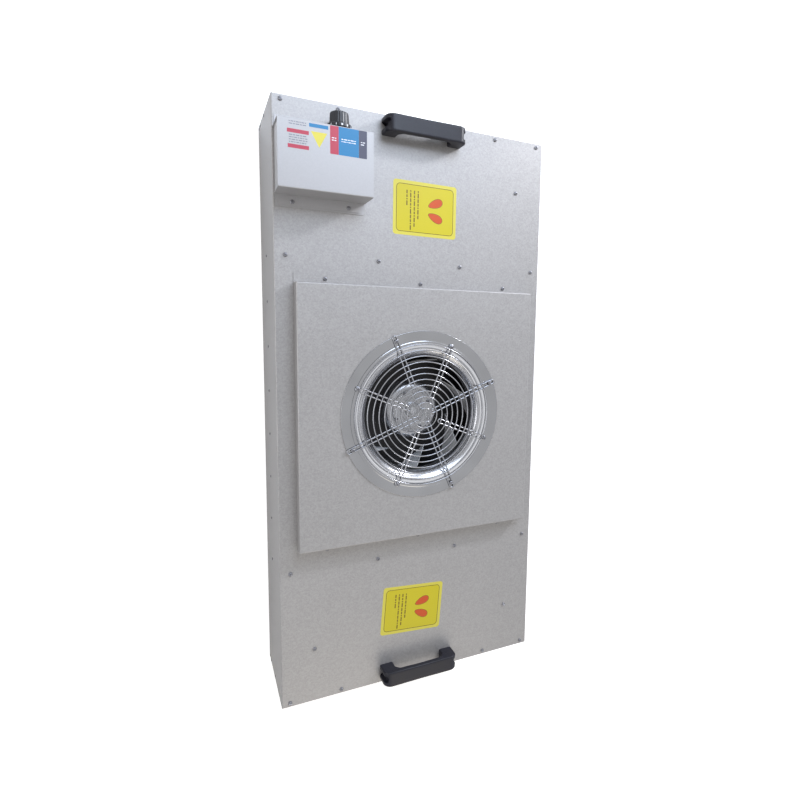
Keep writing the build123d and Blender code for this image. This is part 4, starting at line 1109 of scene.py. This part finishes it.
@dataclass(frozen=True)
class Sticker:
    """A plain notice sticker: yellow film, a thin rounded border, dashes and two orange ovals."""

    name: str
    center: Pair
    turn: float
    width: float = 138.0
    height: float = 106.5
    film: float = 0.12
    line_film: float = 0.06
    panel_film: float = 0.03
    corner: float = 6.0
    border_inset: float = 6.5
    border_width: float = 1.2
    border_corner: float = 8.0
    oval_size: Pair = (32.0, 15.5)
    oval_place: Pair = (22.0, 14.0)
    oval_lean: float = 22.0
    oval_taper: float = 0.28
    oval_margin: float = 0.9
    oval_steps: int = 40
    column_places: tuple[float, ...] = (-16.0, -24.0, -32.0, -40.0)
    column_lengths: tuple[float, ...] = (56.0, 72.0, 70.0, 22.0)
    column_top: float = 35.0
    dash_row: DashRow = DashRow(3.0, 2.1, 1.8, 2, 3)
    dash_width: float = 2.6
    dash_corner: float = 0.5

    def oval(self, side: int, grow: float) -> Array:
        """Outline of one egg-shaped oval, whose width grows with its length's cosine.

        Args:
            side: 1 for the upper one, -1 for its mirror image below.
            grow: A margin round it.

        Returns:
            The outline on the sticker.
        """
        ring = arc((0, 0), 1.0, 0, 360, self.oval_steps)[:-1]
        ring[:, 1] *= 1 + self.oval_taper * ring[:, 0]
        return laid(ring * (np.array(self.oval_size) / 2 + grow), self.oval_place, self.oval_lean) * [1, side]

    def build(self, palette: Palette) -> None:
        """Stack the sticker's layers on the casing top: film, panel, lines and ovals."""
        top = node_box("casing_shell")[1][2]
        level = top + self.film

        def layer(outline: Array, base: float, film: float) -> Sheet:
            """Lay an outline of the sticker on the casing as a film."""
            return plate(laid(outline, self.center, self.turn), base, film)

        def frame_line(inset: float, corner: float) -> Array:
            """Rounded outline at an inset from the sticker's own."""
            return rounded_outline(self.width - 2 * inset, self.height - 2 * inset, corner)

        outer = frame_line(self.border_inset, self.border_corner)
        inner = frame_line(self.border_inset + self.border_width, self.border_corner - self.border_width)
        border = (laid(outline, self.center, self.turn) for outline in (outer, inner))
        lines = [band(*border, level, self.line_film)]
        for column, (x, length) in enumerate(zip(self.column_places, self.column_lengths)):
            for place, dash in self.dash_row.runs(column, length):
                outline = rounded_outline(self.dash_width, dash, self.dash_corner, steps=2)
                outline += [x, self.column_top - place - dash / 2]
                lines.append(layer(outline, level, self.line_film))
        lines += [layer(self.oval(side, self.oval_margin), level, self.line_film) for side in (1, -1)]
        oval_base = level + self.line_film
        ovals = [layer(self.oval(side, 0.0), oval_base, self.panel_film) for side in (1, -1)]
        for name, sheets, finish in (
            ("film", [layer(frame_line(0.0, self.corner), top, self.film)], "sticker_margin"),
            ("panel", [layer(inner, level, self.panel_film)], "sticker_yellow"),
            ("lines", lines, "sticker_line"),
            ("ovals", ovals, "sticker_orange"),
        ):
            palette.piece(f"{self.name}_{name}", sheets, finish)


# ---- filter cell
@dataclass(frozen=True)
class FilterCell:
    """Fine pleats, their glue beads and the expanded-metal face guard, seen from below."""

    pleat_pitch: float = 5.0
    paper: float = 0.5
    bead_spacing: float = 52.0
    bead_radius: float = 0.9
    bead_corner: float = 0.81
    bead_gap: float = 1.0
    bead_lift: float = 0.1
    cell_length: float = 12.0
    row_pitch: float = 7.5
    strand: float = 0.7
    rim: float = 12.0
    rim_corner: float = 1.0

    def build(self, palette: Palette) -> None:
        """Fold the paper between the frame's walls, string the beads and stretch the guard."""
        low, high = node_box("filter_media")
        count = int((high[1] - low[1]) / self.pleat_pitch) * 2
        y = np.linspace(low[1], high[1], count + 1)
        crest = np.where(np.arange(count + 1) % 2 == 1, high[2] - 2 * self.paper, low[2] + self.paper)
        lower, upper = (np.stack([y, crest + side], axis=1) for side in (0.0, self.paper))
        loop = path(lower, upper[::-1])
        pleats = Sheet(np.stack([np.column_stack([np.full(len(loop), x), loop]) for x in (low[0], high[0])]))
        palette.stand_in("filter_media", "pleated", [pleats], "filter_paper", crease=20.0)
        long = high[1] - low[1] - 2 * self.bead_gap
        thread = rounded_outline(2 * self.bead_radius, long, self.bead_corner, steps=3)
        middle = (low[1] + high[1]) / 2
        beads = [
            plate(laid(thread, (x, middle)), low[2] + self.bead_lift, self.bead_radius)
            for x in np.arange(low[0] + self.bead_spacing / 2, high[0], self.bead_spacing)
        ]
        palette.piece("filter_glue_beads", beads, "filter_paper", "filter_paper")
        self.guard(palette)

    def guard(self, palette: Palette) -> None:
        """Stretch the face guard: each strand swings by half the row pitch and meets the next one."""
        low, high = node_box("face_guard")
        middle, half = (low + high) / 2, (high - low) / 2
        inner = 2 * (half - self.rim)
        steps = int(inner[0] / self.cell_length) * 2
        x = np.linspace(low[0] + self.rim, high[0] - self.rim, steps + 1)
        rows = int(inner[1] / self.row_pitch)
        start = middle[1] - self.row_pitch * (rows - 1) / 2
        swing = self.row_pitch / 2 * np.where(np.arange(steps + 1) % 2 == 0, 1.0, -1.0)
        section = ((-self.strand, -half[2]), (self.strand, 0.0), (-self.strand, half[2]))
        strands = []
        for row in range(rows):
            y = start + self.row_pitch * row + (swing if row % 2 == 0 else -swing)
            ring = [np.column_stack([x, y + side, np.full(len(x), middle[2] + up)]) for side, up in section]
            strands.append(Sheet(np.stack(ring, axis=1)))
        outlines = [rounded_outline(*size[:2], self.rim_corner, steps=2) for size in (high - low, inner)]
        strands.append(band(*outlines, low[2], high[2] - low[2]))
        palette.stand_in("face_guard", "stretched", strands, "face_guard_white", crease=20.0)


# ---- studio
@dataclass(frozen=True)
class Lamp:
    """A soft square lamp: where it is, what it points at, its size in metres and its power in watts."""

    name: str
    place: Triple
    target: Triple
    size: float
    power: float
    colour: Triple = (1.0, 1.0, 1.0)

    def hang(self) -> None:
        """Hang the lamp and turn it to its target."""
        light = bpy.data.lights.new(self.name, "AREA")
        light.shape = "SQUARE"
        light.size = self.size
        light.energy = self.power
        light.color = self.colour
        lamp = linked(self.name, light)
        lamp.location = self.place
        aim = Vector(self.target) - Vector(self.place)
        lamp.rotation_euler = aim.to_track_quat("-Z", "Y").to_euler()


@dataclass(frozen=True)
class Studio:
    """Pale floor, white surroundings, soft lamps and the camera."""

    floor_half: float = 14.0
    floor_steps: int = 17
    ambient: float = 0.36
    floor_glow: float = 0.60
    camera_place: Triple = (-0.4200, 0.1834, 1.2627)
    camera_turn: Triple = (-7.088, -26.166, 1.298)
    lens: float = 24.47
    sensor_width: float = 36.0
    shift: Pair = (-0.08, -0.0143)
    lamps: tuple[Lamp, ...] = (
        Lamp("key_lamp", (2.0, 1.7, 1.25), (0.0, 0.35, 0.2), 0.32, 58.0, (0.94, 0.96, 1.02)),
        Lamp("top_lamp", (0.25, 1.45, 1.6), (0.0, 0.35, 0.2), 1.1, 22.0, (0.76, 0.88, 1.06)),
        Lamp("side_lamp", (-2.0, 0.1, 0.9), (0.0, 0.0, 0.1), 1.4, 15.0),
        Lamp("low_lamp", (0.2, -1.9, 1.2), (0.0, -0.3, 0.1), 1.2, 6.5, (1.0, 0.90, 0.72)),
    )

    def surroundings(self) -> None:
        """White where the camera or a reflection looks, and a softer level for lit surfaces."""
        world = bpy.data.worlds.new("studio")
        world.use_nodes = True
        shader = Shader(world.node_tree)
        rays = shader.node("LightPath").outputs
        seen = shader.math("MAXIMUM", rays["Is Camera Ray"], rays["Is Glossy Ray"])
        seen = shader.math("MAXIMUM", seen, rays["Is Transmission Ray"])
        level = shader.fill(shader.node("MapRange", Value=seen), {"To Min": self.ambient, "To Max": 1.0})
        back = {"Color": WHITE, "Strength": level.outputs["Result"]}
        shader.fill(world.node_tree.nodes["Background"], back)
        bpy.context.scene.world = world

    def floor(self) -> None:
        """Lay a level floor on a grid; it keeps the shadow and glows a little for the camera."""
        span = np.linspace(-self.floor_half, self.floor_half, self.floor_steps)
        x, y = np.meshgrid(span, span, indexing="ij")
        sheet = Sheet(np.stack([x, y, np.zeros_like(x)], axis=-1), ring_columns=False)
        mesh = bpy.data.meshes.new("floor")
        mesh.from_pydata(sheet.points.reshape(-1, 3), [], sheet.faces(0))
        paint = bpy.data.materials.new("floor_paint")
        paint.use_nodes = True
        shader = Shader(paint.node_tree)
        camera_rays = shader.node("LightPath").outputs["Is Camera Ray"]
        surface = {
            "Base Color": (0.9, 0.9, 0.9, 1.0),
            "Roughness": 0.9,
            "Emission Color": WHITE,
            "Emission Strength": shader.math("MULTIPLY", camera_rays, self.floor_glow),
        }
        shader.fill(paint.node_tree.nodes["Principled BSDF"], surface)
        mesh.materials.append(paint)
        linked("floor", mesh)

    def build(self) -> None:
        """Set the studio up and the camera in it."""
        self.surroundings()
        self.floor()
        for lamp in self.lamps:
            lamp.hang()
        lens = bpy.data.cameras.new("camera")
        lens.lens = self.lens
        lens.sensor_width = self.sensor_width
        lens.shift_x, lens.shift_y = self.shift
        lens.clip_start = 0.01
        camera = linked("camera", lens)
        camera.location = self.camera_place
        camera.rotation_euler = Euler([math.radians(turn) for turn in self.camera_turn], "XYZ")
        bpy.context.scene.camera = camera
        bpy.context.scene.view_settings.view_transform = "Standard"
        LOG.info("studio with %d lamps", len(self.lamps))


def main() -> None:
    """Dress the frame, make every fine piece and set up the studio."""
    logging.basicConfig(level=logging.INFO, format="%(message)s")
    palette = Palette()
    palette.dress(frame["nodes"], frame["record"])
    for node in ("top_screws", "fan_box_screws", "guard_screws", "control_box_screws"):
        FastenerSet(node).build(palette)
    FastenerSet("rotor_screws", "impeller").build(palette)
    rivets = FastenerSet("side_rivets", "casing", "rivet_aluminium", Head.BLIND, 2.8, 1.2, 1.6, 12.0, 20)
    rivets.build(palette)
    InletNozzle().build(palette)
    WireGuard().build(palette)
    Impeller().build(palette)
    ControlPrint().build(palette)
    SpeedKnob().build(palette)
    for node in ("handle_control_end", "handle_far_end"):
        BridgeHandle(node).build(palette)
    Sticker("sticker_upper", (9.0, 417.5), -0.4).build(palette)
    Sticker("sticker_lower", (-11.0, -434.0), -4.3).build(palette)
    FilterCell().build(palette)
    Studio().build()


if __name__ == "__main__":
    main()
